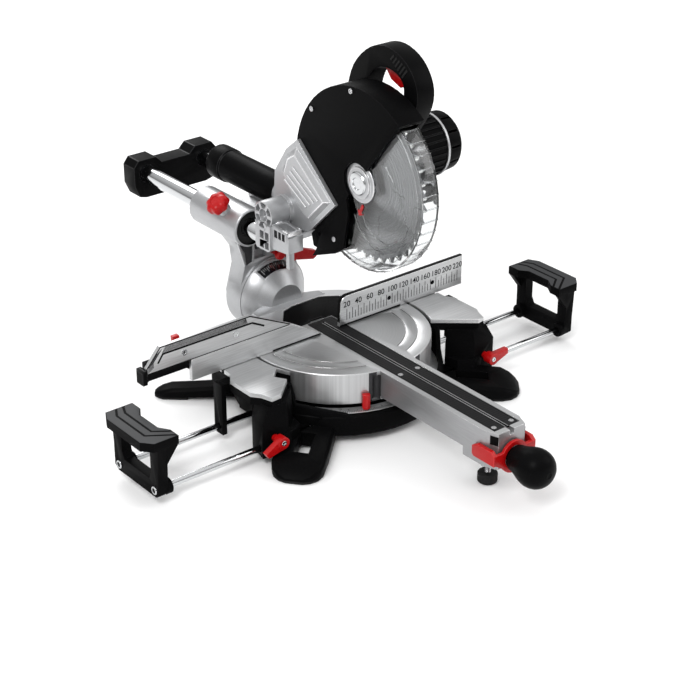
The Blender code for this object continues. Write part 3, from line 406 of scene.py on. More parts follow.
class Shape:
    """A mesh gathered from prisms and turned solids, in millimetres."""

    def __init__(self):
        self.bm = bmesh.new()

    def skin(self, loops, place=None, closed=False, finish=0):
        """Joins a row of loops, with a face at each end, or back to the first loop where it is closed."""
        matrix = Matrix.Scale(MM, 4) @ (place or Matrix())
        rows = [[self.bm.verts.new(matrix @ Vector(p)) for p in loop] for loop in loops]
        pairs = list(zip(rows, rows[1:])) + ([(rows[-1], rows[0])] if closed else [])
        made = []
        for a, b in pairs:
            for i in range(len(a)):
                j = (i + 1) % len(a)
                made.append(self.bm.faces.new((a[i], a[j], b[j], b[i])))
        if not closed:
            made += [self.bm.faces.new(rows[0]), self.bm.faces.new(rows[-1])]
        for face in made:
            face.material_index = finish
        bmesh.ops.recalc_face_normals(self.bm, faces=made)
        return self

    def prism(self, outline, axis, low, high, place=None, finish=0):
        loops = [[spot(axis, u, v, t) for u, v in outline] for t in (low, high)]
        return self.skin(loops, place, finish=finish)

    def box(self, x, y, z, place=None, finish=0):
        outline = [(x[0], y[0]), (x[1], y[0]), (x[1], y[1]), (x[0], y[1])]
        return self.prism(outline, "Z", z[0], z[1], place, finish)

    def turned(self, profile, axis, centre=(0.0, 0.0), steps=32, place=None, closed=False, finish=0,
               lobes=0, depth=0.0):
        """A solid turned from pairs of a place along the axis and a radius, which lobes can vary."""
        loops = []
        for along, radius in profile:
            loop = []
            for i in range(steps):
                a = 2 * math.pi * i / steps
                r = radius * (1 + depth * math.cos(lobes * a))
                loop.append(spot(axis, centre[0] + r * math.cos(a), centre[1] + r * math.sin(a), along))
            loops.append(loop)
        return self.skin(loops, place, closed, finish)

    def stripe(self, path, width, axis, low, high, place=None):
        """A band of a width along a path, mitred at its corners."""
        points = [Vector(p) for p in path]
        left, right = [], []
        for i, point in enumerate(points):
            ways = [(points[k + 1] - points[k]).normalized() for k in (i - 1, i) if 0 <= k < len(points) - 1]
            way = sum(ways, Vector((0, 0))).normalized()
            reach = width / 2 / max(0.4, way.dot(ways[0]))
            across = Vector((-way.y, way.x)) * reach
            left.append(tuple(point + across))
            right.append(tuple(point - across))
        return self.prism(left + right[::-1], axis, low, high, place)

    def piece(self, name, finish, body, slot, edge_width=0.0, segments=2, angle=28.0, edges=True,
              replaces=()):
        mesh = bpy.data.meshes.new(name)
        self.bm.to_mesh(mesh)
        self.bm.free()
        made = bpy.data.objects.new(name, mesh)
        bpy.context.collection.objects.link(made)
        dress(made, body, finish, edge_width, segments, angle, edges)
        if replaces:
            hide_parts(*replaces)
        return made


def carve(piece, *cutters):
    """Cuts shapes out of a piece ahead of its rounded edges. A cut face takes the cutter's material."""
    for cutter in cutters:
        mesh = bpy.data.meshes.new("cutter")
        cutter.bm.to_mesh(mesh)
        tool = bpy.data.objects.new("cutter", mesh)
        bpy.context.collection.objects.link(tool)
        bare = piece.copy()
        bare.modifiers.clear()
        bpy.context.collection.objects.link(bare)
        change = bare.modifiers.new("cut", "BOOLEAN")
        change.operation = "DIFFERENCE"
        change.object = tool
        bpy.context.view_layer.update()
        result = bpy.data.meshes.new_from_object(bare.evaluated_get(bpy.context.evaluated_depsgraph_get()))
        old = piece.data
        result.name = old.name
        piece.data = result
        bpy.data.objects.remove(bare, do_unlink=True)
        bpy.data.objects.remove(tool, do_unlink=True)
        cutter.bm.free()


def lettering(shape, text, size, place, high, weight=0.0):
    """Adds raised figures to a shape, centred on a place's XY plane. Weight thickens their strokes."""
    curve = bpy.data.curves.new("figures", "FONT")
    curve.body = text
    curve.size = size
    curve.align_x = "CENTER"
    curve.align_y = "BOTTOM_BASELINE"
    curve.extrude = high / 2
    curve.offset = weight
    curve.resolution_u = 3
    holder = bpy.data.objects.new("figures", curve)
    bpy.context.collection.objects.link(holder)
    bpy.context.view_layer.update()
    mesh = bpy.data.meshes.new_from_object(holder.evaluated_get(bpy.context.evaluated_depsgraph_get()))
    mesh.transform(Matrix.Scale(MM, 4) @ place)
    shape.bm.from_mesh(mesh)
    bpy.data.objects.remove(holder, do_unlink=True)
    bpy.data.meshes.remove(mesh)


# ------------------------------------------------------------------------------------- base and table

def build_table():
    for word in ("left", "right"):
        refine(f"{word}_table_plate", width=0.7)
    refine("base_casting", width=1.2)
    for kind, width in (("foot", 0.8), ("rod", 0.5)):
        for word in ("left", "right"):
            for place in ("front", "rear"):
                refine(f"{word}_{place}_{kind}", width=width)
    refine("turntable_bolt")


def build_mitre_scale():
    """The scale's ring, with a line for each degree and figures every fifteen degrees."""
    refine("mitre_scale_ring", width=0.25)
    marks = Shape()
    zero, rim, top = 158, 135.6, 41.5
    for degree in range(-50, 51):
        reach = 9.0 if degree % 10 == 0 else 6.5 if degree % 5 == 0 else 4.5
        marks.box((-0.3, 0.3), (rim - reach, rim), (top, top + 0.12), swing(zero + degree, "Z"))
    for degree in range(-45, 46, 15):
        place = swing(zero + degree + 180, "Z") @ Matrix.Translation((0, -127.4, top + 0.06))
        lettering(marks, str(abs(degree)), 4.5, place, 0.12)
    marks.piece("mitre_scale_marks", "paint_black", "base", "black_plastic")


GROOVE_RADII = (92, 108)
GROOVE_END = 34  # X where the grooves stop short of the arm
HOLLOW_X, HOLLOW_Y, HOLLOW_R, HOLLOW_TOP = 33, -122, 6, TABLE - 6
DISC_R = 112


def build_turntable():
    """The turned disc with its two grooves, and its arm with a round hollow on each side, under the rim.
    Grooves, hollows and faces under the top take painted shade, the arm's upward faces a painted highlight.
    """
    top = refine("turntable", "turned_aluminium", 0.0)
    cutters = []
    for radius in GROOVE_RADII:
        groove = Shape()
        gap = math.degrees(math.asin(GROOVE_END / radius))
        for low, high in ((-178, -90 - gap), (-90 + gap, -2)):
            outline = arc(radius + 0.8, low, high, steps=24) + arc(radius - 0.8, high, low, steps=24)
            groove.prism(outline, "Z", TABLE - 0.9, TABLE + 2)
        cutters.append(groove)
    recess = Shape()
    for side in (-1, 1):
        recess.turned([(44, HOLLOW_R), (HOLLOW_TOP, HOLLOW_R)], "Z", (side * HOLLOW_X, HOLLOW_Y), 32)
    carve(top, *cutters, recess)
    names = ["turned_aluminium", "arm_aluminium", "cast_painted_shade", "machined_highlight_and_marks"]
    dress(top, "turntable", names, 0.5)
    # Painted shade in the grooves, the hollows and under the top; painted highlight on the arm's upward
    # faces.
    for face in top.data.polygons:
        centre = face.center / MM
        radius = math.hypot(centre.x, centre.y)
        upward = face.normal.z >= 0.5
        near_groove = any(abs(radius - r) < 0.9 for r in GROOVE_RADII)
        in_groove = near_groove and TABLE - 1.0 < centre.z < TABLE - 0.1
        from_hollow = math.hypot(abs(centre.x) - HOLLOW_X, centre.y - HOLLOW_Y)
        in_recess = from_hollow < HOLLOW_R + 0.2 and centre.z < HOLLOW_TOP + 0.1
        on_arm = centre.y < -DISC_R and abs(centre.x) < 30 and (not upward or centre.y < -128)
        inside = centre.z < 86 and radius < DISC_R
        look = "turned_aluminium"
        if in_groove or in_recess or inside:
            look = "cast_painted_shade"
        elif on_arm:
            look = "machined_highlight_and_marks" if upward else "arm_aluminium"
        face.material_index = names.index(look)


SCREW_YS = (-322.0, -148.0)


def build_insert():
    """The kerf insert: a ribbed black plate with a slot, rounded front corners and countersunk screws."""
    half, slot, low, high = 21.0, 2.0, TABLE - 2.7, TABLE - 0.5
    front, slot_end, back = -330, 30, 39
    pitch, ribs, clear = 4.15, 86, 5.5
    plate = Shape()
    for side in (-1, 1):
        corner = arc(6.5, 0, -90, (14.3, -323.4), 6)
        outline = [(slot, back), (half, back), (half, -318)] + corner + [(slot, front)]
        plate.prism([(side * x, y) for x, y in outline], "Z", low, high)
    plate.box((-slot - 0.5, slot + 0.5), (slot_end, back), (low, high - 0.01))
    for side in (-1, 1):
        for edge in (slot + 0.8, half - 1.2):
            plate.box((side * edge - 0.45, side * edge + 0.45), (-322, 36), (high - 0.1, TABLE - 0.12))
        across = sorted((side * (slot + 2.4), side * (half - 2.8)))
        for step in range(ribs):
            y = back - 6 - pitch * step
            if min(abs(y - s) for s in SCREW_YS) >= clear:
                plate.box(across, (y - 0.9, y + 0.9), (high - 0.1, TABLE - 0.2))
    plate.piece("kerf_insert_plate", "insert_plastic", "turntable", "black_plastic", 0.18, 1,
                replaces=["kerf_insert"])
    lips = Shape()
    for side in (-1, 1):
        across = sorted((side * (slot - 0.15), side * (slot + 0.35)))
        lips.box(across, (front + 0.4, slot_end), (high - 0.2, TABLE - 0.05))
    lips.piece("kerf_lips", "machined_aluminium", "turntable", "machined_aluminium")
    screws = Shape()
    for side in (-1, 1):
        for y in SCREW_YS:
            screw(screws, (side * 14.5, y), TABLE - 1.2, TABLE - 0.1, 3.4)
    screws.piece("insert_screws", "bare_steel", "turntable", "bare_steel", 0.25)


def screw(shape, centre, low, high, radius):
    """A countersunk screw's head, with the rim of a hexagon socket."""
    shape.turned([(low, radius), (high - 0.25, radius), (high, radius - 0.4)], "Z", centre, 24)
    inner, outer = radius * 0.44, radius * 0.58
    rim = [(high - 0.02, outer), (high + 0.12, outer), (high + 0.12, inner), (high - 0.02, inner)]
    shape.turned(rim, "Z", centre, 6, closed=True)


def build_nose():
    """Trim on the mitre arm's end: the dark corner channel, the twist handle, its yoke and the jack."""
    refine("detent_yoke", width=2.6, segments=4)
    refine("mitre_pointer", width=0.4)
    grip = Shape()
    profile = [(-312, 4.8), (-339.6, 4.8), (-339.7, 9.5), (-347.1, 9.5), (-347.3, 15.2)]
    curve = [(-348.3, 16.8), (-351, 17.6), (-355, 18.2), (-360, 19.7), (-366, 22.1), (-372, 24.2),
             (-377, 25.3), (-382, 25.6), (-387, 25.0), (-392, 23.5), (-396.5, 20.9), (-400, 17.6),
             (-402.8, 13.2), (-404.3, 8.5), (-405, 4.2), (-404.4, 3.6), (-404.2, 1.0)]
    grip.turned(profile + curve, "Y", (0, HANDLE_Z), 56)
    grip.piece("mitre_grip", "black_plastic", BODY_OF["mitre_handle_grip"], "black_plastic", angle=40,
               replaces=["mitre_handle_grip"])
    jack = Shape()
    pitch = 1.5
    threads = [(14.2, 4.0)]
    for step in range(23):
        z = 14.6 + step * pitch
        threads += [(z, 3.5), (z + pitch / 2, 4.0)]
    threads += [(60, 3.6), (74, 3.6)]
    jack.turned(threads, "Z", (0, JACK_Y), 24)
    jack.piece("jack_screw", "bare_steel", "arm_foot", "bare_steel", angle=50)
    pad = Shape()
    side = [(0.5, 11.2), (1.2, 12.2), (2, 12.5), (12.6, 12.5), (13.6, 12.1), (14.2, 11.3), (14.2, 4.2)]
    pad.turned(side, "Z", (0, JACK_Y), 40)
    knurls = 24
    for step in range(knurls):
        turn = Matrix.Translation((0, JACK_Y, 0)) @ swing(360 / knurls * step, "Z")
        pad.box((-0.7, 0.7), (12.2, 12.85), (2.2, 12.4), turn)
    pad.piece("jack_pad", "rubber", "arm_foot", "black_plastic", replaces=["arm_foot"])
    corner = Shape()
    for side in (-1, 1):
        chamfer = [(26.5, -328.6), (22.4, -339.2), (21.4, -338.4), (25.4, -328)]
        corner.prism([(side * x, y) for x, y in chamfer], "Z", 76, TABLE - 4.5)
    corner.piece("nose_channel", "black_plastic", "turntable", "black_plastic")


# --------------------------------------------------------------------------------------------- fences

FENCE_HOLES = (95, 174)


def build_right_fence():
    """The right fence, with its painted ruler and edges, a painted shadow along its foot, and plugs in its
    holes.
    """
    refine("right_fence", "machined_aluminium", 0.45)
    front = FENCE_Y - 0.12
    first, last, foot = 20, 220, TABLE + 8.0
    marks = Shape()
    for x in range(first, last + 1, 5):
        if min(abs(x - hole) for hole in FENCE_HOLES) < 2:
            continue
        tall = 16.0 if x % 10 == 0 else 10.5
        marks.box((x - 0.45, x + 0.45), (front, FENCE_Y + 0.05), (foot, foot + tall))
    for value in range(first, last + 1, 20):
        place = Matrix.Translation((value, front + 0.06, TABLE + 27.5)) @ swing(90, "X")
        lettering(marks, str(value), 12.0, place, 0.14, 0.12)
    marks.piece("fence_scale", "paint_black", "base", "black_plastic")
    trim = Shape()
    edge = [(8.9, 0.8), (8.9, 36.2), (13.0, 41.9), (18.0, 44.3), (229.2, 44.3)]
    trim.stripe([(x, TABLE + h) for x, h in edge], 1.3, "Y", FENCE_Y + 0.6, FENCE_Y + 5.4)
    # Painted shadow: dark strips along the fence's foot over the turntable.
    for x0, x1 in ((-105, -25), (8.2, 115)):
        trim.box((x0, x1), (front, FENCE_Y + 0.3), (TABLE + 0.35, TABLE + 2.6))
    trim.piece("fence_edge_strip_and_foot_shadow", "paint_black", "base", "black_plastic")
    plugs = Shape()
    profile = [(5.2, 2.9), (0.4, 2.9), (-0.3, 2.6), (-0.4, 2.2)]
    for x in FENCE_HOLES:
        plugs.turned([(FENCE_Y + y, r) for y, r in profile], "Y", (x, TABLE + 18), 24)
    plugs.piece("fence_plugs", "black_plastic", "base", "black_plastic")


def build_left_fence():
    """The two left fences, with the upper one's grooves and slanted knurling drawn in painted shade, screws
    and end cap.
    """
    refine("left_fence_lower", "machined_aluminium", 0.45)
    refine("left_fence_upper", "machined_aluminium", 0.6)
    refine("fence_slide_rail", width=0.5)
    refine("fence_lock_lever", width=1.2, segments=3)
    front, back = FENCE_Y - 0.25, FENCE_Y + 0.2
    body = BODY_OF["left_fence_upper"]

    def plan(points):
        return [(x, TABLE + h) for x, h in points]

    # Painted shade: the grooves drawn as black strips on the fence's face.
    groove = Shape()
    for width, path in ((2.6, [(-283, 41.6), (-275, 52.6), (-137, 52.6), (-118, 42.6)]),
                        (1.5, [(-299.3, 31.2), (-299.3, 38.9), (-278.5, 62.8), (-140.2, 62.8), (-76, 31.8)]),
                        (0.9, [(-298, 31.5), (-78, 31.5)])):
        groove.stripe(plan(path), width, "Y", front, back)
    groove.piece("fence_groove_shade", "paint_black", body, "black_plastic")
    # Painted shade: the slanted knurling drawn as dark lines on the fence's face.
    knurl = Shape()
    thick, low, high = 0.9, 54.2, 61.8
    first, last, last_top, pitch = -277, -143, -147, 1.7
    for step in range(int((last - first) / pitch)):
        x = first + pitch * (step + 0.5)
        top = min(x + 5.4, last_top)
        line = [(x, low), (x + thick, low), (min(top + thick, last_top), high),
                (min(top, last_top - 0.2), high)]
        knurl.prism(plan(line), "Y", front + 0.05, back)
    for step in range(13):
        h = 32.8 + step * 1.75
        x = -297.5 + max(0.0, (h - 39) * 0.87)
        line = [(x, h), (x + 8.5, h + 5.2), (x + 8.5, h + 5.2 + thick), (x, h + thick)]
        knurl.prism(plan(line), "Y", front + 0.05, back)
    knurl.piece("fence_knurl_shade", "cast_painted_shade", body, "machined_aluminium")
    screws = Shape()
    profile = [(1, 4.6), (-0.5, 4.6), (-0.9, 4.1), (-0.9, 2.4), (-0.3, 2.3)]
    for x in (-243, -163):
        screws.turned([(FENCE_Y + y, r) for y, r in profile], "Y", (x, TABLE + 44.5), 24)
    screws.piece("fence_screws", "chrome", body, "bare_steel", 0.2)
    cap = Shape()
    end = [(-307.3, 17.7), (-300.1, 17.7), (-300.1, 38.4), (-304.5, 38.4), (-307.3, 35.5)]
    cap.prism(plan(end), "Y", FENCE_Y - 2.2, FENCE_Y + 13.2)
    cap.piece("fence_end_cap", "black_plastic", body, "black_plastic", 1.0, 3)


def build_clamps():
    for word, side in (("left", -1), ("right", 1)):
        node = f"{word}_clamp_lever"
        refine(node, width=1.6, segments=3)
        head = Shape()
        profile = [(-116.2, 3.7), (-118.6, 3.7), (-119.2, 3.2), (-119.2, 1.9), (-118.2, 1.8)]
        head.turned(profile, "Y", (side * CLAMP_X, CLAMP_Z), 20)
        head.piece(f"{word}_clamp_screw", "chrome", BODY_OF[node], "bare_steel", 0.2)


# ------------------------------------------------------------------------------------------- supports

def build_supports():
    """The side supports, with a grooved plate on each and socket screws in the ends of their rods."""
    inner, outer, rod_end = 323.0, 370.0, 354.0
    rod_ys, rod_z = (-87.0, -8.0), 21.0
    for word, side in (("left", -1), ("right", 1)):
        node = f"{word}_support_frame"
        body = BODY_OF[node]
        refine(node, width=1.1, segments=3)

        def turned_side(points):
            return [(side * x, y) for x, y in points]

        plate = [(inner + 1.2, -97.2), (outer - 12.3, -97.2), (outer - 0.8, -83.6), (outer - 0.8, -10.2),
                 (outer - 8.4, 4.2), (inner + 1.2, 4.2), (inner + 1.2, -14.5), (inner + 10.2, -26.5),
                 (inner + 10.2, -65.5), (inner + 1.2, -79.5)]
        skin = Shape()
        skin.prism(turned_side(plate), "Z", TABLE - 0.9, TABLE)
        top = skin.piece(f"{word}_support_plate", "support_top", body, "support_plastic", 0.2, edges=False)
        for path in ([(outer - 24, 6), (outer - 14, -12), (outer - 14, -74), (inner - 2, -98)],
                     [(outer - 34, 6), (outer - 26, -12), (outer - 26, -70), (inner - 2, -87)]):
            groove = Shape()
            groove.stripe(turned_side(path), 3.2, "Z", TABLE - 1, TABLE + 1)
            carve(top, groove)
        caps, socket_shade = Shape(), Shape()
        profile = [(-2, 5.6), (1.2, 5.6), (1.9, 5.0), (1.9, 3.4), (0.6, 3.3)]
        for y in rod_ys:
            caps.turned([(side * (rod_end + along), r) for along, r in profile], "X", (y, rod_z), 32)
            # Painted shade: a black hexagon in each cap for the socket's hollow.
            socket_shade.turned([(side * (rod_end + along), 3.5) for along in (-1, 0.9)], "X", (y, rod_z), 6)
        caps.piece(f"{word}_rod_screws", "chrome", body, "bare_steel", 0.25)
        socket_shade.piece(f"{word}_rod_socket_shade", "paint_black", body, "bare_steel")


# ---------------------------------------------------------------------------------- bevel hub and rails

def build_bevel():
    """The bevel's hub with painted shade on its front face and a curved scale in its window, its cover, bolt,
    lever and pin.
    """
    # Forward-facing faces of the hub above the table take painted shade.
    def paint(centre, normal):
        return 1 if centre.y < 111.2 and centre.z > TABLE and normal.y < -0.9 else 0

    refine("bevel_hub", ["cast_aluminium", "hub_face_painted_shade"], 0.8, 3, paint=paint)
    refine("rear_cover", "black_casting", 0.8)
    refine("bevel_bolt")
    glass, marks = Shape(), Shape()

    def floor(y):
        """The radius of the window's sloping floor."""
        return 41.4 + (y - 129.5) * 9.8 / 12

    def strip(first, last, under, over, low, high):
        """Loops of points between two angles and two Ys, from one height above the floor to another."""
        loops = []
        steps = 8
        for k in range(steps + 1):
            a = math.radians(first + (last - first) * k / steps)
            corners = ((low, under), (high, under), (high, over), (low, over))
            section = [(y, floor(y) + rise) for y, rise in corners]
            loops.append([(r * math.cos(a), y, TABLE + r * math.sin(a)) for y, r in section])
        return loops

    glass.skin(strip(69, 123, -0.3, 0.5, 130, 141))
    glass.piece("bevel_scale", "scale_glass", "turntable", "black_plastic")
    for step in range(-6, 7):
        middle = 96 + step * 3.6
        low = 133 if step % 3 == 0 else 135.5
        marks.skin(strip(middle - 0.35, middle + 0.35, 0.3, 0.7, low, 139))
    marks.piece("bevel_marks", "machined_highlight_and_marks", "turntable", "machined_aluminium")
    refine("bevel_lever", width=2.2, segments=4)
    refine("bevel_pin", width=0.8, segments=3)


SEAL_R = 24.0


def build_tilt_arm():
    """The tilting arm, with rubber seals in its rail barrels, a ribbed waist and the lobed rail knob."""
    def paint(centre, normal):
        in_barrel = any(math.hypot(centre.x - s * RAIL_X, centre.z - RAIL_Z) < 22 for s in (-1, 1))
        return 1 if in_barrel and (122.5 < centre.y < 135 or centre.y > 229) else 0

    arm = refine("tilt_arm", ["cast_aluminium", "black_plastic"], 1.4, 3, paint=paint)
    mouths = Shape()
    for side in (-1, 1):
        mouths.turned([(120, SEAL_R), (134, SEAL_R)], "Y", (side * RAIL_X, RAIL_Z), 64, finish=1)
    carve(arm, mouths)
    seals = Shape()
    front = [(127, SEAL_R - 0.1), (127, 13.0), (133.8, 13.0), (133.8, SEAL_R - 0.1)]
    rear = [(230.6, 24.0), (232.2, 23.4), (232.2, 13.1), (229.0, 13.1), (229.0, 24.0)]
    for side in (-1, 1):
        centre = (side * RAIL_X, RAIL_Z)
        seals.turned(front, "Y", centre, 64, closed=True)
        seals.turned(rear, "Y", centre, 48, closed=True)
    seals.piece("rail_seals", "rubber", "tilt", "rubber", 0.3)
    # Painted shade: dark panels on the cast aluminium between the waist's ribs.
    panel = Shape()
    panel.prism([(-40, 146), (-42, 165), (-57, 190), (-30, 190), (-30, 150)], "Y", 149.4, 150.4)
    panel.prism([(-24, 166), (24, 166), (34, 190), (-34, 190)], "Y", 149.2, 150.2)
    panel.piece("waist_panel_shade", "cast_painted_shade", "tilt", "cast_aluminium")
    ribs = Shape()
    half = 1.5
    for x0, x1, z0, z1 in ((-43, -58, 146, 196), (-30, -28, 150, 192),
                           (30, 28, 150, 192), (43, 58, 146, 196)):
        ribs.prism([(x0 - half, z0), (x0 + half, z0), (x1 + half, z1), (x1 - half, z1)], "Y", 146.5, 150.6)
    ribs.piece("waist_ribs", "cast_aluminium", "tilt", "cast_aluminium", 0.6)
    knob = Shape()
    place = axis_place((-RAIL_X, 158, RAIL_Z), (-0.67, 0, 0.742))
    stem = [(13.6, 3.9), (34.5, 3.9)]
    star = [(33.5, 8.0), (34.2, 9.2), (36, 13.4), (37.5, 14.9), (40, 15.6), (45.5, 15.6), (48.2, 14.6),
            (50.2, 12.6), (51.6, 9.0), (51.8, 6.5), (50.9, 6.0), (50.8, 2.0)]
    knob.turned(star, "Z", steps=84, place=place, lobes=7, depth=0.075)
    knob.turned(stem, "Z", steps=20, place=place)
    knob.piece("rail_knob", "red_plastic", BODY_OF["rail_lock_knob"], "red_plastic", angle=40,
               replaces=["rail_lock_knob"])


def build_carriage():
    """The rails, the bracket with its fittings and painted shade in its hollows, the rear yoke and the head's
    hinge.
    """
    for word in ("left", "right"):
        refine(f"{word}_rail", width=0.6, segments=3, edges=False)

    # Painted shade on the floors of the bracket's spoke and grid pockets.
    def paint(centre, normal):
        spokes = math.hypot(centre.y - PIVOT[0], centre.z - PIVOT[1]) < 18
        grid = 62.9 < centre.y < 82.6 and 205.9 < centre.z < 230.1
        return 1 if -64.9 < centre.x < -53.5 and (spokes or grid) else 0

    bracket = refine("head_bracket", ["cast_aluminium", "cast_painted_shade"], 0.8, 2, paint=paint)
    # The cut pockets take painted shade.
    pockets = Shape()
    for y0, y1 in ((33, 39), (41, 47), (49, 56)):
        pockets.box((-63, -58), (y0, y1), (227, 237.5), finish=1)
    carve(bracket, pockets)
    fittings = Shape()
    fittings.turned([(239, 6.2), (243.4, 6.2), (244.4, 5.2)], "Z", (-49, 64), 6)
    fittings.turned([(242.5, 7.0), (243.2, 7.0)], "Z", (-49, 64), 32)
    fittings.box((-60, -38), (25.5, 29), (236, 241.5))
    fittings.box((-60, -57), (26, 40), (238.5, 241.5))
    fittings.piece("bracket_fittings", "cast_highlight_and_fittings", "carriage", "bare_steel", 0.5)
    refine("rear_yoke", width=2.5, segments=4)
    refine("pivot_shaft")
    refine("lock_down_pin", width=0.8, segments=3)
    bolts = Shape()
    for x in (-24, 8):
        bolts.turned([(210.5, 7.6), (212.0, 7.6)], "Z", (x, 82), 32)
        bolts.turned([(212, 6.6), (217.2, 6.6), (218.0, 5.6)], "Z", (x, 82), 6)
    bolts.piece("bracket_bolts", "chrome", "carriage", "bare_steel", 0.3)
    caps = Shape()
    profile = [(389.3, 11), (404.6, 11), (405.6, 10.2), (405.6, 6), (404.2, 5.6)]
    for side in (-1, 1):
        caps.turned(profile, "Y", (side * RAIL_X, RAIL_Z), 32)
    caps.piece("yoke_screws", "bare_steel", "carriage", "bare_steel", 0.3)


# ----------------------------------------------------------------------------------------------- head

def build_head():
    """The head's arm with a ribbed panel, the black upper guard with its screws, and the dust spigot."""
    refine("head_arm", width=1.6, segments=3)
    inside, outside = -25.8, -31.5
    relief = Shape()
    low = [(58, 10), (118, 16), (124, 40), (122, 66), (114, 98), (84, 106), (60, 100)]
    high = [(66, 17), (112, 22), (116, 42), (114, 64), (107, 91), (84, 98), (67, 93)]
    relief.skin([[(inside, y, z) for y, z in low], [(outside, y, z) for y, z in high]], HEAD)
    thick, lean, top = 3.2, 9, 84
    for step in range(4):
        y, foot = 72 + step * 9.5, 24 + step * 3
        rib = [(y, foot), (y + thick, foot), (y + lean + thick, top), (y + lean, top)]
        relief.prism(rib, "X", outside - 1.8, outside + 0.5, HEAD)
    relief.piece("head_relief", "cast_aluminium", "head", "cast_aluminium", 1.1, 3)
    refine("upper_guard", "black_casting", 1.3, 3)
    refine("dust_spigot", width=0.5)
    screws = Shape()
    for y, z in ((84, 100), (-84, 84), (0, 117), (100, -22)):
        for side in (-1, 1):
            face = side * 20.0
            screws.turned([(face - side, 3.6), (face + side * 1.3, 3.6), (face + side * 1.7, 3.1),
                           (face + side * 1.7, 1.8), (face + side * 0.7, 1.7)], "X", (y, z), 20, HEAD)
    screws.piece("guard_screws", "bare_steel", "head", "bare_steel", 0.2)


def build_motor():
    """The gear housing and the motor, with cooling fins, two bands and the screws of its flange and cap."""
    refine("gear_housing", width=1.6, segments=3)
    refine("motor_housing", "black_casting", 1.0, 3)
    refine("motor_end_cap", width=1.0, segments=3)
    refine("cord_gland", width=0.5)
    refine("motor_armature", width=0.4)
    refine("spindle_lock_button", width=0.6, segments=3)
    fins = Shape()
    count, gland_angle = 28, 270
    for step in range(count):
        a = 360 / count * step
        if abs(a - gland_angle) < 20:
            continue
        turn = HEAD @ Matrix.Translation((0, *MOTOR)) @ swing(a, "X")
        for low, high in ((66, 96), (104, 140)):
            fins.box((low, high), (-1.3, 1.3), (41.2, 43.6), turn)
    fins.piece("motor_fins", "black_plastic", "head", "black_plastic", 0.5)
    bands = Shape()
    inner, outer = 41.5, 43.9
    for low, high in ((98, 102), (142.5, 145.8)):
        section = [(low, inner), (low, outer), (high, outer), (high, inner)]
        bands.turned(section, "X", MOTOR, 64, HEAD, closed=True)
    bands.piece("motor_bands", "cast_aluminium", "head", "cast_aluminium", 0.5)
    screws = Shape()
    cap_r, cap = 30, [(171, 3.2), (173.6, 3.2), (174.0, 2.6), (174.0, 1.5), (173.0, 1.4)]
    flange_r, flange = 41, [(47.5, 3.4), (50.4, 3.4), (50.8, 2.8), (50.8, 1.6), (49.8, 1.5)]
    for a in (45, 135, 225, 315):
        y, z = math.cos(math.radians(a)), math.sin(math.radians(a))
        screws.turned(cap, "X", (MOTOR[0] + cap_r * y, MOTOR[1] + cap_r * z), 20, HEAD)
        if a != 225:
            screws.turned(flange, "X", (MOTOR[0] + flange_r * y, MOTOR[1] + flange_r * z), 20, HEAD)
    screws.piece("motor_screws", "bare_steel", "head", "bare_steel", 0.2)


def build_handle():
    refine("handle", width=3.2, segments=4, angle=40)
    refine("trigger", width=1.4, segments=3)
    refine("lock_off_button", width=0.7, segments=3)
    front = -124
    grip = Shape()
    for side in (-1, 1):
        face = 26.5 if side < 0 else 54.0
        for step in range(6):
            z = 62 + step * 5.5
            edge = -139 + max(0.0, z - 70) * 0.3
            grip.box(sorted((face - side * 0.5, face + side * 0.7)), (edge, front), (z, z + 2.6), HEAD)
    grip.piece("grip_ribs", "rubber", "head", "rubber", 0.4)


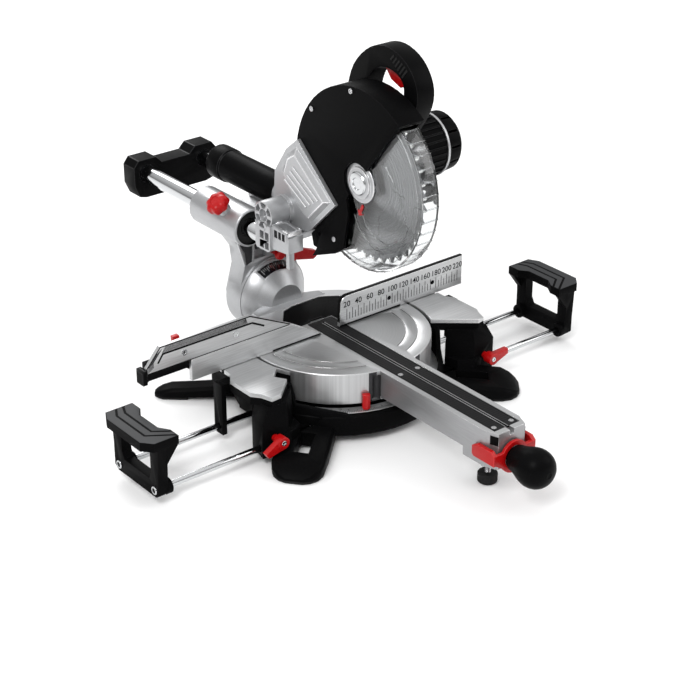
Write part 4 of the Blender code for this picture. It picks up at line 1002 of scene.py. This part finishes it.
def build_blade():
    """The blade with its carbide tips and its narrow slots, and what holds it to the spindle."""
    refine("saw_blade", width=0.0)
    tips = Shape()
    tooth = [(BLADE_R - 7, 0.6), (BLADE_R - 0.2, -0.25), (BLADE_R + 0.1, 0.2), (BLADE_R - 1.6, 3.0),
             (BLADE_R - 6, 3.2)]
    for step in range(TEETH):
        tips.prism(tooth, "X", -1.45, 1.45, HEAD @ swing(360 / TEETH * step, "X"))
    tips.piece("carbide_tips", "carbide", "blade", "blade_steel", 0.12, 1)
    slots = Shape()
    gap = [(BLADE_R - 8, 1), (BLADE_R - 18, 1), (BLADE_R - 21, 4.5)]
    curl = [(48, -9), (53, -6), (58, -7.5), (63, -4), (68, -5.5), (73, -2)]
    for step in range(5):
        turn = HEAD @ swing(72 * step + 20, "X")
        for path, width in ((gap, 0.8), (curl, 0.7)):
            slots.stripe(path, width, "X", -1.16, 1.16, turn)
    slots.piece("blade_slots", "paint_black", "blade", "blade_steel")
    for node in ("inner_flange", "outer_flange", "blade_bolt", "spindle_and_gear"):
        refine(node, width=0.3)


def build_guard():
    """The clear guard with raised ribs and an arrow on its side, and the bolt on its hub."""
    refine("lower_guard", width=0.8, angle=30)
    refine("guard_hub", width=1.0, segments=3)
    ribs = Shape()
    for step in range(24):
        turn = HEAD @ swing(166 + 8.2 * step, "X")
        ribs.box((-13.0, 13.0), (GUARD_R - 0.3, GUARD_R + 1.1), (-0.7, 0.7), turn)
    for path, width in ((arc(GUARD_R - 9, 168, 352, steps=48), 1.2),
                        ([(20, -84), (34, -64), (36, -40), (28, -24)], 1.5),
                        ([(36, -88), (50, -66), (52, -36), (44, -20)], 1.5),
                        ([(62, -64), (8, -101), (-30, -92), (-50, -50), (-58, -12)], 1.3)):
        ribs.stripe(path, width, "X", GUARD_RAISED, GUARD_FACE, HEAD)
    ribs.piece("guard_ribs", "clear_plastic", BODY_OF["lower_guard"], "clear_plastic", 0.25)
    arrow = Shape()
    outline = [(20, -24), (31, -27), (30, -31), (38, -26), (33, -19), (32, -22.5), (21, -20)]
    arrow.prism(outline, "X", GUARD_RAISED, -13.25, HEAD)
    arrow.piece("guard_arrow", "red_plastic", BODY_OF["lower_guard"], "red_plastic")
    hub = Shape()
    profile = [(-17.5, 15.5), (-19.0, 15.5), (-20.6, 14.2), (-21.4, 11.0), (-21.4, 8.0), (-19.8, 7.4),
               (-19.6, 3)]
    hub.turned(profile, "X", steps=48, place=HEAD)
    hub.piece("guard_hub_bolt", "chrome", BODY_OF["guard_hub"], "bare_steel", 0.4)


build_table()
build_mitre_scale()
build_turntable()
build_insert()
build_nose()
build_right_fence()
build_left_fence()
build_clamps()
build_supports()
build_bevel()
build_tilt_arm()
build_carriage()
build_head()
build_motor()
build_handle()
build_blade()
build_guard()
